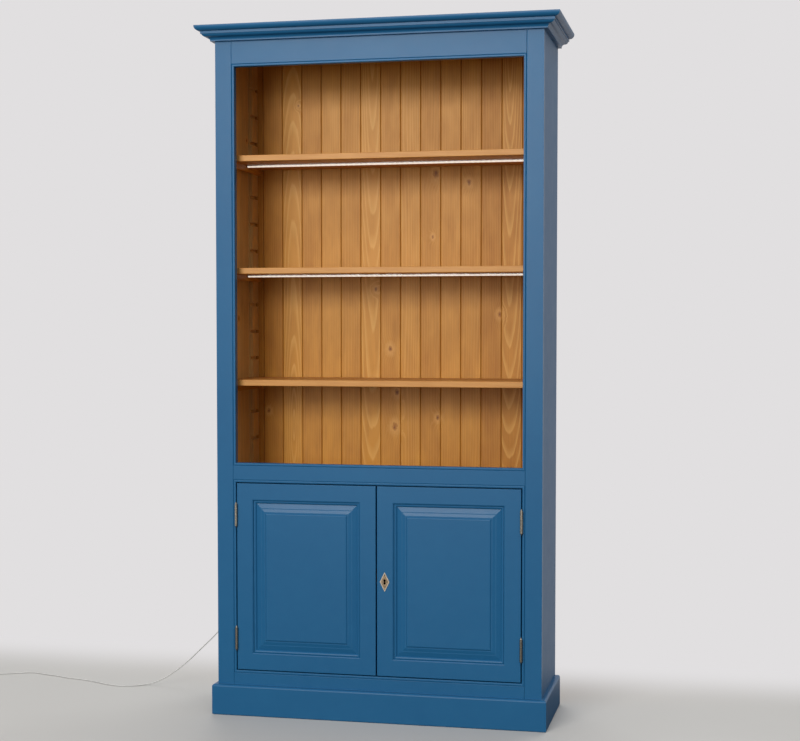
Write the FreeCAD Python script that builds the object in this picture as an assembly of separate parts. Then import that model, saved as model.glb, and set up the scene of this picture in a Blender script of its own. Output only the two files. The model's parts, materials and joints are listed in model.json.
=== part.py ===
import FreeCAD, Part

import math
import os

from FreeCAD import Vector

# Painted bookcase with a two-door cabinet below and adjustable shelves above.
# Millimetres. +X is the right-hand side seen from the front, +Y points to the
# back and +Z up. The origin is on the floor, under the middle of the footprint
# that the cornice covers.

# ------------------------------------------------------------------ driving sizes

# Case
overall_height = 2150.0
case_width = 1026.0
case_depth = 348.0            # front of the face frame to the back
side_thickness = 18.0
board_thickness = 18.0        # roof, middle and base boards
back_thickness = 12.0
back_rebate = 10.0            # how far the back boards reach into each side

# Crown: steps of its profile, from the case outwards and from its foot upwards
cornice_overhang = 52.0
cornice_height = 44.0
cornice_foot_ledge = 12.0
cornice_foot_lip = 4.0
cove_width = 21.0
cove_height = 16.0
cornice_step_width = 3.0
cornice_ovolo = 14.0
cornice_top_lip = 2.0

# Plinth
plinth_thickness = 16.0
plinth_height = 96.0
plinth_round = 7.0
plinth_arris = 2.5

# Face frame
frame_thickness = 22.0
stile_width = 53.0
stile_arris = 3.0
rail_arris = 1.5
bead_width = 8.0
bead_round = 2.5
top_rail_reveal = 70.5        # height seen between the cornice and the bead
mid_rail_height = 45.0
bottom_rail_reveal = 37.5     # height seen between the plinth and the bead
bottom_rail_hidden = 30.0     # height behind the plinth
door_opening_height = 594.0
mid_board_drop = 31.5         # top of the middle board below the upper opening
tenon_length = 30.0
tenon_thickness = 8.0
tenon_shoulder = 8.0
tenon_end_gap = 1.0

# Back boards
back_board_pitch = 66.6
back_joint_offset = 3.0       # the middle joint lies this far right of centre
back_tongue = 6.0
back_tongue_thickness = 4.0
back_tongue_gap = 1.0
back_v_groove = 2.4
back_side_gap = 1.0
back_board_groups = 4

# Shelf ladders and cleats
ladder_thickness = 13.0
ladder_width = 60.0
notch_pitch = 88.0
notch_height = 11.0
notch_depth = 9.0
first_notch = 85.0            # floor of the lowest notch above the middle board
notch_top_margin = 60.0       # least wood left above the highest notch
cleat_body_width = 14.0
cleat_height = 18.0
cleat_arris = 1.5
cleat_gap = 0.5

# Shelves: which notch carries each one, counted from the lowest
lower_shelf_notch_count = 2
middle_shelf_notch_count = 6
upper_shelf_notch_count = 10
shelf_thickness = 19.0
shelf_gap = 1.0
shelf_front_gap = 26.0        # behind the back of the face frame
shelf_arris = 2.0

# Light strips under the upper and middle shelves
led_setback = 175.0           # middle of the channel behind the front of the frame
led_width = 12.0
led_channel_height = 2.2
led_wall = 1.0
led_lip_height = 1.6
led_diffuser_height = 4.6
led_end_gap = 4.0

# Cabinet fittings
cabinet_shelf_height = 290.0  # top of the shelf above the base board
cabinet_shelf_setback = 55.0
cabinet_cleat_width = 18.0
cabinet_cleat_height = 24.0
cabinet_cleat_inset = 12.0
stop_thickness = 16.0
stop_overlap = 8.0            # how far the stop hangs below the top of the opening
stop_gap = 0.5

# Doors
door_gap = 3.0
meeting_gap = 4.0
door_thickness = 22.0
door_arris = 1.5
door_stile_width = 49.0
door_rail_height = 50.0
door_tenon_length = 34.0
door_tenon_shoulder = 8.0
door_tenon_inset = 4.0
sticking_step = 0.8
sticking_ovolo = 4.0
sticking_quirk = 1.4
sticking_bead = 7.6
panel_setback = 10.0          # face of the panel's edge behind the door's face
panel_edge = 6.0              # thickness of the panel's tongue
panel_tongue = 8.0
panel_tongue_gap = 1.0
panel_bevel = 14.5            # outer slope of the raised panel
panel_bevel_rise = 3.9
panel_bevel_fillet = 2.4
panel_inner_bevel = 9.1       # second slope, nearer the field
panel_inner_rise = 2.3
panel_fillet = 3.5
panel_ovolo = 7.0             # width of the rounded step up to the raised field
panel_field_setback = 1.0

# Lift-off hinges
hinge_inset = 102.0           # middle of a hinge from the top or foot of the opening
knuckle_radius = 4.5
knuckle_length = 34.0
finial_length = 6.0
finial_radius = 3.6
finial_tip = 1.0
hinge_split = 0.4
hinge_pin_radius = 2.5
hinge_pin_gap = 0.05
hinge_pin_seat = 28.0         # length of the pin in each knuckle
hinge_pin_end_gap = 1.0
hinge_leaf_thickness = 2.0
hinge_leaf_reach = 18.0       # behind the face of the frame
hinge_proud = 0.5             # knuckle in front of the face of the frame

# Lock, strike plate and escutcheon
lock_height = 293.0           # keyhole above the foot of the door
lock_case_depth = 38.0
lock_case_height = 58.0
lock_case_thickness = 12.0
lock_case_setback = 6.0
lock_case_drop = 24.5         # foot of the case below the keyhole
lock_wall = 1.5
forend_thickness = 2.0
forend_width = 16.0
forend_margin = 5.0
bolt_width = 7.0
bolt_height = 10.0
bolt_length = 26.0
bolt_above_keyhole = 18.0
bolt_travel = 9.0
bolt_clearance = 0.25
bolt_recess = 0.3             # tip behind the forend, drawn back
bolt_talon_width = 6.0
bolt_talon_height = 2.5
key_space_width = 18.0
key_space_drop = 9.5
strike_thickness = 1.5
strike_width = 16.0
strike_height = 40.0
strike_clearance = 0.75
strike_end_gap = 3.0
keyhole_lobe = 3.8
keyhole_foot_lobe = 3.6
keyhole_spread = 4.3
keyhole_waist = 3.6
escutcheon_width = 30.0
escutcheon_height = 61.0      # from point to point, before its points are taken off
escutcheon_tip = 1.0
escutcheon_thickness = 1.5

# Surface bolt inside the left door
rod_radius = 3.0
rod_length = 62.0
rod_travel = 12.0
rod_top_gap = 2.5             # rod end below the door stop, drawn back
rod_from_edge = 25.0
rod_standoff = 2.5
rod_clearance = 0.05
rod_knob_radius = 3.5
rod_knob_length = 8.0
guide_plate_thickness = 1.5
guide_plate_width = 20.0
guide_plate_height = 54.0
guide_plate_drop = 6.0        # top of the plate below the drawn-back rod end
guide_block_height = 8.0
guide_block_width = 12.0
guide_block_inset = 4.0
guide_block_wall = 2.0
stop_notch_width = 9.0
stop_notch_front = 3.0        # wood left in front of the notch

# Cord
cord_diameter = 4.0
cord_floor_gap = 0.1
gland_height = 262.0
gland_from_back = 20.0
gland_neck_radius = 5.0
gland_flange_radius = 7.0
gland_flange = 2.5
gland_length = 22.0
gland_tip_radius = 2.6
coil_inner_turn = 18.0
coil_outer_turn = 26.0
coil_layers = 2
coil_lead = 16.0              # straight end of the coil, before it starts to turn
coil_approach = 28.0
coil_looseness = 0.1          # room that the turns take up beyond their own thickness
coil_x = -1552.0
coil_y = 138.0
plug_length = 62.0
plug_width = 36.0
plug_height = 26.0
plug_round = 4.0
plug_neck_length = 14.0
plug_neck_radius = 4.6
plug_neck_tip_radius = 2.6
plug_boss_length = 14.0
plug_boss_height = 3.0
plug_pin_radius = 2.0
plug_pin_length = 19.0
plug_pin_spread = 19.0

# ------------------------------------------------------------------ derived places

half_case = case_width / 2.0
front = (cornice_overhang - case_depth) / 2.0
back = front + case_depth
frame_back = front + frame_thickness
back_face = back - back_thickness
inner_side = half_case - side_thickness
inner_stile = half_case - stile_width
opening_half = inner_stile - bead_width
ladder_face = inner_side - ladder_thickness

cornice_foot = overall_height - cornice_height
roof_foot = overall_height - board_thickness
bottom_rail_top = plinth_height + bottom_rail_reveal
door_opening_foot = bottom_rail_top + bead_width
door_opening_top = door_opening_foot + door_opening_height
mid_rail_foot = door_opening_top + bead_width
mid_rail_top = mid_rail_foot + mid_rail_height
upper_opening_foot = mid_rail_top + bead_width
top_rail_foot = cornice_foot - top_rail_reveal
upper_opening_top = top_rail_foot - bead_width
mid_board_foot = upper_opening_foot - mid_board_drop - board_thickness
mid_board_top = mid_board_foot + board_thickness
base_board_foot = door_opening_foot - board_thickness

top_rail_levels = (top_rail_foot, overall_height)
mid_rail_levels = (mid_rail_foot, mid_rail_top)
bottom_rail_levels = (plinth_height - bottom_rail_hidden, bottom_rail_top)

led_y = front + led_setback
led_half = ladder_face - cleat_body_width - led_end_gap

door_foot = door_opening_foot + door_gap
door_top = door_opening_top - door_gap
door_outer = opening_half - door_gap
door_meeting = meeting_gap / 2.0
door_back = front + door_thickness
sticking_width = sticking_ovolo + sticking_quirk + sticking_bead
panel_back = panel_setback + panel_edge

hinge_x = opening_half - door_gap / 2.0
hinge_y = front - hinge_proud - knuckle_radius
hinge_levels = (door_opening_foot + hinge_inset, door_opening_top - hinge_inset)

lock_z = door_foot + lock_height
lock_x = door_meeting + door_stile_width / 2.0
lock_case_x = door_meeting + forend_thickness
lock_case_foot = lock_z - lock_case_drop
bolt_z = lock_z + bolt_above_keyhole
bolt_y = front + lock_case_setback + lock_case_thickness / 2.0

stop_foot = door_opening_top - stop_overlap
stop_front = frame_back + stop_gap
rod_x = -(door_meeting + rod_from_edge)
rod_y = door_back + guide_plate_thickness + rod_standoff + rod_radius
rod_top = stop_foot - rod_top_gap
guide_top = rod_top - guide_plate_drop
guide_foot = guide_top - guide_plate_height

cord_radius = cord_diameter / 2.0
cord_floor = cord_radius + cord_floor_gap
gland_y = back - gland_from_back
gland_tip = -(half_case + gland_length)

up = Vector(0, 0, 1)
right = Vector(1, 0, 0)
rearward = Vector(0, 1, 0)

# The cord's route: out of the side, down in a slack fall, then along the floor.
cord_route = [
    Vector(gland_tip, gland_y, gland_height),
    Vector(-563, 180, 262),
    Vector(-600, 180, 223),
    Vector(-640, 180, 178),
    Vector(-683, 180, 137),
    Vector(-726, 180, 95),
    Vector(-771, 180, 57),
    Vector(-818, 179, 25),
    Vector(-866, 173, 5),
    Vector(-912, 146, cord_floor),
    Vector(-966, 131, cord_floor),
    Vector(-1020, 147, cord_floor),
    Vector(-1072, 176, cord_floor),
    Vector(-1128, 196, cord_floor),
    Vector(-1184, 208, cord_floor),
    Vector(-1238, 231, cord_floor),
    Vector(-1292, 246, cord_floor),
    Vector(-1344, 267, cord_floor),
    Vector(-1394, 239, cord_floor),
    Vector(-1447, 214, cord_floor),
    Vector(-1480, 188, cord_floor),
    Vector(coil_x + coil_lead + coil_approach, coil_y + coil_outer_turn, cord_floor),
    Vector(coil_x + coil_lead, coil_y + coil_outer_turn, cord_floor),
]

os.makedirs("parts", exist_ok=True)


# ------------------------------------------------------------------ small helpers

def save(name, shape):
    """Write one sub-part to its own STEP file."""
    shape.exportStep("parts/" + name + ".step")


def box(x0, x1, y0, y1, z0, z1):
    """Axis-aligned box between two corners."""
    corner = Vector(min(x0, x1), min(y0, y1), min(z0, z1))
    return Part.makeBox(abs(x1 - x0), abs(y1 - y0), abs(z1 - z0), corner)


def bar(radius, start, end):
    """Round bar from one point to another."""
    along = end - start
    return Part.makeCylinder(radius, along.Length, start, along)


def mirrored(shape):
    """The same piece on the other side of the middle plane."""
    return shape.mirror(Vector(0, 0, 0), right)


def group(solids):
    """Several separate solids kept in one sub-part."""
    return Part.makeCompound(solids)


def line(a, b):
    return Part.LineSegment(a, b).toShape()


def arc(a, middle, b):
    return Part.Arc(a, middle, b).toShape()


def quarter(start, corner, end):
    """Quarter round from start to end that bulges towards the corner between them."""
    middle = corner + (start + end - corner * 2) * (1 - math.sqrt(0.5))
    return arc(start, middle, end)


def polyline(points):
    return [line(a, b) for a, b in zip(points, points[1:])]


def polygon(points):
    return Part.Face(Part.makePolygon(points + [points[0]]))


def pushed(edges, along):
    """Solid made by pushing a closed outline along a direction."""
    return Part.Face(Part.Wire(edges)).extrude(along)


def near(a, b):
    return abs(a - b) < 1e-4


def rounded(shape, radius, along, test):
    """Round the straight edges in one direction whose two ends pass the test."""
    chosen = []
    for edge in shape.Edges:
        ends = [v.Point for v in edge.Vertexes]
        if len(ends) == 2 and (ends[1] - ends[0]).cross(along).Length < 1e-4:
            if all(test(p) for p in ends):
                chosen.append(edge)
    return shape.makeFillet(radius, chosen)


# ------------------------------------------------------------------ case

def side_panel():
    """Right-hand side with a rebate for the back boards."""
    panel = box(inner_side, half_case, frame_back, back, 0, overall_height)
    rebate = box(inner_side, inner_side + back_rebate, back_face, back, 0, overall_height)
    return panel.cut(rebate)


def gland_point(x):
    return Vector(x, gland_y, gland_height)


def left_side_panel():
    """Left-hand side, bored for the cord gland."""
    bore = bar(gland_neck_radius, gland_point(-half_case), gland_point(-inner_side))
    return mirrored(side_panel()).cut(bore)


def fixed_board(foot):
    """Board between the sides, from the face frame to the back boards."""
    return box(-inner_side, inner_side, frame_back, back_face, foot, foot + board_thickness)


def frame_tenon(levels, length):
    """Tenon on the right-hand end of a face-frame rail."""
    y0 = front + (frame_thickness - tenon_thickness) / 2.0
    z0 = levels[0] + tenon_shoulder
    z1 = levels[1] - tenon_shoulder
    return box(inner_stile, inner_stile + length, y0, y0 + tenon_thickness, z0, z1)


def frame_stile():
    """Right-hand stile of the face frame, mortised for the three rails."""
    post = box(inner_stile, half_case, front, frame_back, 0, overall_height)
    post = rounded(post, stile_arris, up, lambda p: near(p.x, inner_stile) and near(p.y, front))
    for levels in (top_rail_levels, mid_rail_levels, bottom_rail_levels):
        post = post.cut(frame_tenon(levels, tenon_length + tenon_end_gap))
    return post


def frame_rail(levels, eased):
    """Face-frame rail with a tenon at each end; the named front edges are eased."""
    beam = box(-inner_stile, inner_stile, front, frame_back, levels[0], levels[1])
    beam = rounded(beam, rail_arris, right,
                   lambda p: near(p.y, front) and any(near(p.z, z) for z in eased))
    end = frame_tenon(levels, tenon_length)
    return beam.fuse([end, mirrored(end)])


def bead_strip(length, inner_z, outer_z):
    """Bead between two heights, mitred at both ends towards the inner one."""
    half = length / 2.0
    strip = box(-half, half, front, frame_back, inner_z, outer_z)
    strip = rounded(strip, bead_round, right, lambda p: near(p.y, front))
    inner = half - bead_width
    y = front - 1
    mitre = polygon([Vector(-half, y, outer_z), Vector(half, y, outer_z),
                     Vector(inner, y, inner_z), Vector(-inner, y, inner_z)])
    return strip.common(mitre.extrude(rearward * (frame_thickness + 2)))


def bead_frame(foot, top):
    """Four mitred strips that line an opening of the face frame."""
    over = bead_strip(2 * inner_stile, top, top + bead_width)
    under = bead_strip(2 * inner_stile, foot, foot - bead_width)
    upright = bead_strip(top - foot + 2 * bead_width, 0, bead_width)
    upright.rotate(Vector(0, 0, 0), rearward, 90)
    upright.translate(Vector(opening_half, 0, (top + foot) / 2.0))
    return group([over, under, upright, mirrored(upright)])


def cornice_outline():
    """Crown profile in the plane x = 0, from its foot on the case out to the top lip."""
    def at(out, rise):
        return Vector(0, front - out, cornice_foot + rise)

    ledge, lip = cornice_foot_ledge, cornice_foot_lip
    cove_end = ledge + cove_width
    cove_top = lip + cove_height
    middle = at(ledge + cove_width / 2.0, lip + cove_height / 2.0)
    ovolo_start = cornice_overhang - cornice_ovolo
    ovolo_top = cornice_height - cornice_top_lip
    ovolo_foot = ovolo_top - cornice_ovolo
    step = cove_end + cornice_step_width
    hollow = at(ledge + 0.17 * cove_width, lip + 0.35 * cove_height)
    swell = at(ledge + 0.83 * cove_width, lip + 0.65 * cove_height)
    edges = polyline([at(0, 0), at(ledge, 0), at(ledge, lip)])
    edges += [arc(at(ledge, lip), hollow, middle), arc(middle, swell, at(cove_end, cove_top))]
    edges += polyline([at(cove_end, cove_top), at(step, cove_top), at(step, ovolo_foot),
                       at(ovolo_start, ovolo_foot)])
    edges.append(quarter(at(ovolo_start, ovolo_foot), at(cornice_overhang, ovolo_foot),
                         at(cornice_overhang, ovolo_top)))
    edges += polyline([at(cornice_overhang, ovolo_top), at(cornice_overhang, cornice_height),
                       at(0, cornice_height), at(0, 0)])
    return Part.Face(Part.Wire(edges))


def plinth_outline():
    """Plinth board with a rounded top edge, in the plane x = 0."""
    outer = front - plinth_thickness
    bend = plinth_height - plinth_round
    edges = polyline([Vector(0, front, 0), Vector(0, outer + plinth_arris, 0),
                      Vector(0, outer, plinth_arris), Vector(0, outer, bend)])
    edges.append(quarter(Vector(0, outer, bend), Vector(0, outer, plinth_height),
                         Vector(0, outer + plinth_round, plinth_height)))
    edges += polyline([Vector(0, outer + plinth_round, plinth_height),
                       Vector(0, front, plinth_height), Vector(0, front, 0)])
    return Part.Face(Part.Wire(edges))


def front_moulding(section, overhang):
    """Moulding across the front, mitred at both corners."""
    reach = half_case + overhang
    section.translate(Vector(-reach, 0, 0))
    run = section.extrude(right * (2 * reach))
    plan = polygon([Vector(-half_case, front, 0), Vector(half_case, front, 0),
                    Vector(reach, front - overhang, 0), Vector(-reach, front - overhang, 0)])
    return run.common(plan.extrude(up * overall_height))


def side_moulding(section, overhang):
    """Moulding along the right-hand side, mitred at the front corner."""
    reach = half_case + overhang
    section.rotate(Vector(0, front, 0), up, 90)
    section.translate(Vector(half_case, -overhang, 0))
    run = section.extrude(rearward * (case_depth + overhang))
    plan = polygon([Vector(half_case, front, 0), Vector(reach, front - overhang, 0),
                    Vector(reach, back, 0), Vector(half_case, back, 0)])
    return run.common(plan.extrude(up * overall_height))


# ------------------------------------------------------------------ back boards

def back_joints():
    """Every joint between two back boards, from left to right."""
    first = back_joint_offset - back_board_pitch * int((inner_side + back_joint_offset) / back_board_pitch)
    count = int((inner_side - first) / back_board_pitch) + 1
    return [first + i * back_board_pitch for i in range(count)]


def back_board(x0, x1, grooved, tongued):
    """Back board with a groove on its left, a tongue on its right and V-shaped front edges."""
    v = back_v_groove
    points = [Vector(x0 + v if grooved else x0, back_face, 0),
              Vector(x1 - v if tongued else x1, back_face, 0)]
    if tongued:
        points.append(Vector(x1, back_face + v, 0))
    points += [Vector(x1, back, 0), Vector(x0, back, 0)]
    if grooved:
        points.append(Vector(x0, back_face + v, 0))
    board = polygon(points).extrude(up * overall_height)
    y0 = back_face + (back_thickness - back_tongue_thickness) / 2.0
    y1 = y0 + back_tongue_thickness
    if tongued:
        board = board.fuse(box(x1, x1 + back_tongue, y0, y1, 0, overall_height))
    if grooved:
        board = board.cut(box(x0, x0 + back_tongue + back_tongue_gap, y0, y1, 0, overall_height))
    return board


def back_boards():
    """All back boards, from left to right."""
    end = inner_side + back_rebate - back_side_gap
    edges = [-end] + back_joints() + [end]
    last = len(edges) - 2
    return [back_board(a, b, i > 0, i < last) for i, (a, b) in enumerate(zip(edges, edges[1:]))]


# ------------------------------------------------------------------ shelves

def notch_floors():
    """Floor of each ladder notch."""
    lowest = mid_board_top + first_notch
    count = int((roof_foot - notch_top_margin - notch_height - lowest) / notch_pitch) + 1
    return [lowest + i * notch_pitch for i in range(count)]


def shelf_foot(notch):
    """Underside of a shelf, which is the top of the cleats that carry it."""
    return mid_board_top + first_notch + notch * notch_pitch + notch_height - cleat_gap


def ladder(y0):
    """Right-hand notched batten, from the middle board to the roof."""
    batten = box(ladder_face, inner_side, y0, y0 + ladder_width, mid_board_top, roof_foot)
    notches = [box(ladder_face, ladder_face + notch_depth, y0, y0 + ladder_width,
                   floor, floor + notch_height) for floor in notch_floors()]
    return batten.cut(notches)


def shelf_cleat(notch):
    """Right-hand cleat whose tongue lies in a notch of the front and the back ladder."""
    top = shelf_foot(notch)
    y0, y1 = frame_back + cleat_gap, back_face - cleat_gap
    tongue = box(ladder_face, ladder_face + notch_depth - cleat_gap, y0, y1,
                 top - notch_height + cleat_gap, top)
    face = ladder_face - cleat_body_width
    body = box(face, ladder_face, y0, y1, top - cleat_height, top)
    body = rounded(body, cleat_arris, rearward, lambda p: near(p.x, face) and p.z < top - cleat_arris)
    return body.fuse(tongue)


def shelf(notch):
    """Adjustable shelf, notched at its corners round the ladders."""
    foot = shelf_foot(notch)
    top = foot + shelf_thickness
    y0, y1 = frame_back + shelf_front_gap, back_face - shelf_gap
    half = inner_side - shelf_gap
    clear = ladder_face - shelf_gap
    plank = box(-half, half, y0, y1, foot, top)
    for cut_front, cut_back in ((frame_back, frame_back + ladder_width + shelf_gap),
                                (back_face - ladder_width - shelf_gap, back_face)):
        corner = box(clear, inner_side, cut_front, cut_back, foot - 1, top + 1)
        plank = plank.cut([corner, mirrored(corner)])
    return rounded(plank, shelf_arris, right, lambda p: near(p.y, y0))


def led_channel(notch):
    """Aluminium channel under a shelf, open downward."""
    top = shelf_foot(notch)
    foot = top - led_channel_height
    y0, y1 = led_y - led_width / 2.0, led_y + led_width / 2.0
    rail = box(-led_half, led_half, y0, y1, foot, top)
    return rail.cut(box(-led_half, led_half, y0 + led_wall, y1 - led_wall, foot, top - led_wall))


def led_diffuser(notch):
    """Domed milky diffuser clipped into the channel."""
    def at(across, z):
        return Vector(-led_half, led_y + across, z)

    top = shelf_foot(notch) - led_wall
    foot = shelf_foot(notch) - led_channel_height
    half = led_width / 2.0
    inner = half - led_wall
    lip = foot - led_lip_height
    edges = polyline([at(half, lip), at(half, foot), at(inner, foot), at(inner, top),
                      at(-inner, top), at(-inner, foot), at(-half, foot), at(-half, lip)])
    edges.append(arc(at(-half, lip), at(0, foot - led_diffuser_height), at(half, lip)))
    return pushed(edges, right * (2 * led_half))


# ------------------------------------------------------------------ cabinet

def cabinet_shelf():
    """Plain shelf inside the cabinet."""
    top = door_opening_foot + cabinet_shelf_height
    half = inner_side - shelf_gap
    y0 = front + cabinet_shelf_setback
    plank = box(-half, half, y0, back_face - shelf_gap, top - board_thickness, top)
    return rounded(plank, shelf_arris, right, lambda p: near(p.y, y0))


def cabinet_cleat():
    """Right-hand cleat under the cabinet shelf, cut away at its front end."""
    top = door_opening_foot + cabinet_shelf_height - board_thickness
    y0 = front + cabinet_shelf_setback + cabinet_cleat_inset
    y1 = back_face - cleat_gap
    slope = cabinet_cleat_height / 2.0
    x = inner_side - cabinet_cleat_width
    side = polygon([Vector(x, y0, top), Vector(x, y1, top), Vector(x, y1, top - cabinet_cleat_height),
                    Vector(x, y0 + slope, top - cabinet_cleat_height), Vector(x, y0, top - slope)])
    return side.extrude(right * cabinet_cleat_width)


def door_stop():
    """Strip behind the middle rail, notched for the surface bolt."""
    stop = box(-opening_half, opening_half, stop_front, stop_front + stop_thickness,
               stop_foot, mid_board_foot)
    half = stop_notch_width / 2.0
    notch = box(rod_x - half, rod_x + half, stop_front + stop_notch_front,
                stop_front + stop_thickness, stop_foot, mid_board_foot)
    return stop.cut(notch)


# ------------------------------------------------------------------ doors
# Every door piece is drawn for the right-hand door and mirrored for the left-hand one.

def moulded_bar(flat, at, along):
    """Door frame bar with a moulded, grooved edge; at(across, depth) places its section."""
    ovolo_in = flat + sticking_ovolo
    bead_in = ovolo_in + sticking_quirk
    end = flat + sticking_width
    groove_in = end - panel_tongue - panel_tongue_gap
    low = sticking_step + sticking_ovolo
    edges = polyline([at(0, 0), at(flat, 0), at(flat, sticking_step)])
    edges.append(quarter(at(flat, sticking_step), at(ovolo_in, sticking_step), at(ovolo_in, low)))
    edges += polyline([at(ovolo_in, low), at(ovolo_in, low + sticking_quirk), at(bead_in, low)])
    edges.append(arc(at(bead_in, low),
                     at(bead_in + 0.7 * sticking_bead, low + 0.3 * (panel_setback - low)),
                     at(end, panel_setback)))
    edges += polyline([at(end, panel_setback), at(groove_in, panel_setback), at(groove_in, panel_back),
                       at(end, panel_back), at(end, door_thickness), at(0, door_thickness), at(0, 0)])
    return pushed(edges, along)


def door_envelope():
    """Outline of the door with its front edges eased."""
    block = box(door_meeting, door_outer, front, door_back, door_foot, door_top)
    for along in (right, up):
        block = rounded(block, door_arris, along, lambda p: p.y < front + door_arris)
    return block


def rounded_door_piece(piece, plan):
    """Trim a piece to its mitred plan and to the eased outline of the door."""
    cutter = plan.extrude(rearward * (door_thickness + 2))
    return piece.common(cutter).common(door_envelope())


def door_stile(edge_x, inward):
    """Stile of the right-hand door, from its outer edge in the inward direction."""
    def place(across, depth):
        return Vector(edge_x + inward * across, front + depth, door_foot)

    def corner(across, z):
        return Vector(edge_x + inward * across, front - 1, z)

    bar_stock = moulded_bar(door_stile_width, place, up * (door_top - door_foot))
    flat, moulded = door_stile_width, door_stile_width + sticking_width
    low, high = door_foot + door_rail_height, door_top - door_rail_height
    plan = polygon([corner(0, door_foot), corner(flat, door_foot), corner(flat, low),
                    corner(moulded, low + sticking_width), corner(moulded, high - sticking_width),
                    corner(flat, high), corner(flat, door_top), corner(0, door_top)])
    stile = rounded_door_piece(bar_stock, plan)
    for z, upward in ((door_foot, 1), (door_top, -1)):
        stile = stile.cut(door_tenon(edge_x + inward * flat, -inward, z, upward, tenon_end_gap))
    return stile


def door_tenon(shoulder_x, outward, outer_z, upward, extra):
    """Tenon of a door rail, or its mortise when it is made a little longer."""
    z0 = outer_z + upward * door_tenon_shoulder
    z1 = outer_z + upward * (door_rail_height - door_tenon_inset)
    return box(shoulder_x, shoulder_x + outward * (door_tenon_length + extra),
               front + panel_setback, front + panel_back, z0, z1)


def door_rail(outer_z, upward):
    """Rail of the right-hand door, from its outer edge in the upward direction."""
    left, far = door_meeting + door_stile_width, door_outer - door_stile_width

    def place(across, depth):
        return Vector(door_meeting, front + depth, outer_z + upward * across)

    def corner(x, across):
        return Vector(x, front - 1, outer_z + upward * across)

    bar_stock = moulded_bar(door_rail_height, place, right * (door_outer - door_meeting))
    flat, moulded = door_rail_height, door_rail_height + sticking_width
    plan = polygon([corner(left, 0), corner(far, 0), corner(far, flat),
                    corner(far - sticking_width, moulded), corner(left + sticking_width, moulded),
                    corner(left, flat)])
    rail = rounded_door_piece(bar_stock, plan)
    return rail.fuse([door_tenon(left, -1, outer_z, upward, 0), door_tenon(far, 1, outer_z, upward, 0)])


def raised_outline(a0, a1, at):
    """Section of the raised panel between two sight lines; at(place, depth) places it."""
    first_depth = panel_setback - panel_bevel_rise
    second_depth = first_depth - panel_inner_rise
    step = second_depth - panel_field_setback
    inner_start = panel_bevel + panel_bevel_fillet
    inner_end = inner_start + panel_inner_bevel
    slope_end = inner_end + panel_fillet
    field = slope_end + panel_ovolo
    turn, rise = slope_end + 0.3 * panel_ovolo, second_depth - 0.7 * step
    slopes = [(slope_end, second_depth), (inner_end, second_depth), (inner_start, first_depth),
              (panel_bevel, first_depth), (0, panel_setback), (-panel_tongue, panel_setback),
              (-panel_tongue, panel_back)]
    edges = polyline([at(a0 + field, panel_field_setback), at(a1 - field, panel_field_setback)])
    edges.append(arc(at(a1 - field, panel_field_setback), at(a1 - turn, rise),
                     at(a1 - slope_end, second_depth)))
    edges += polyline([at(a1 - inward, depth) for inward, depth in slopes]
                      + [at(a0 + inward, depth) for inward, depth in reversed(slopes)])
    edges.append(arc(at(a0 + slope_end, second_depth), at(a0 + turn, rise),
                     at(a0 + field, panel_field_setback)))
    return edges


def door_panel():
    """Raised panel of the right-hand door: two crossed sections meet in mitred corners."""
    x0 = door_meeting + door_stile_width + sticking_width
    x1 = door_outer - door_stile_width - sticking_width
    z0 = door_foot + door_rail_height + sticking_width
    z1 = door_top - door_rail_height - sticking_width
    across = raised_outline(x0, x1, lambda a, depth: Vector(a, front + depth, z0 - panel_tongue))
    along = raised_outline(z0, z1, lambda a, depth: Vector(x0 - panel_tongue, front + depth, a))
    upright = pushed(across, up * (z1 - z0 + 2 * panel_tongue))
    level = pushed(along, right * (x1 - x0 + 2 * panel_tongue))
    return upright.common(level)


# ------------------------------------------------------------------ hinges

def hinge_half(leaf_x, leaf_side, z, upward, bore):
    """Leaf, knuckle and finial of one hinge half, from the split upwards or downwards."""
    start = Vector(hinge_x, hinge_y, z + upward * hinge_split / 2.0)
    end = start + up * (upward * knuckle_length)
    leaf = box(leaf_x, leaf_x + leaf_side * hinge_leaf_thickness, hinge_y, front + hinge_leaf_reach,
               start.z, end.z)
    finial = Part.makeCone(finial_radius, finial_tip, finial_length, end, up * upward)
    hole = bar(bore, start, start + up * (upward * (hinge_pin_seat + hinge_pin_end_gap)))
    return leaf.fuse([bar(knuckle_radius, start, end), finial]).cut(hole)


def frame_hinge(z):
    """Lower half on the right-hand bead; the pin is a tight fit in it."""
    return hinge_half(opening_half, -1, z, -1, hinge_pin_radius)


def door_hinge(z):
    """Upper half on the edge of the right-hand door; it turns on the pin."""
    return hinge_half(door_outer, 1, z, 1, hinge_pin_radius + hinge_pin_gap)


def hinge_pin(z):
    axis = Vector(hinge_x, hinge_y, z)
    reach = up * (hinge_split / 2.0 + hinge_pin_seat)
    seat_end = reach + up * hinge_pin_end_gap
    return bar(hinge_pin_radius, axis - seat_end, axis + reach)


# ------------------------------------------------------------------ lock

def keyhole(y0, y1):
    """Keyhole: two round lobes joined by a narrow waist, from y0 to y1."""
    top = Vector(lock_x, y0, lock_z + keyhole_spread)
    foot = Vector(lock_x, y0, lock_z - keyhole_spread)
    depth = rearward * (y1 - y0)
    waist = box(lock_x - keyhole_waist / 2.0, lock_x + keyhole_waist / 2.0, y0, y1, foot.z, top.z)
    return bar(keyhole_lobe, top, top + depth).fuse([bar(keyhole_foot_lobe, foot, foot + depth), waist])


def bolt_passage(x0, x1, clearance):
    """Square passage round the lock bolt."""
    half_width = bolt_width / 2.0 + clearance
    half_height = bolt_height / 2.0 + clearance
    return box(x0, x1, bolt_y - half_width, bolt_y + half_width, bolt_z - half_height, bolt_z + half_height)


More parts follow.
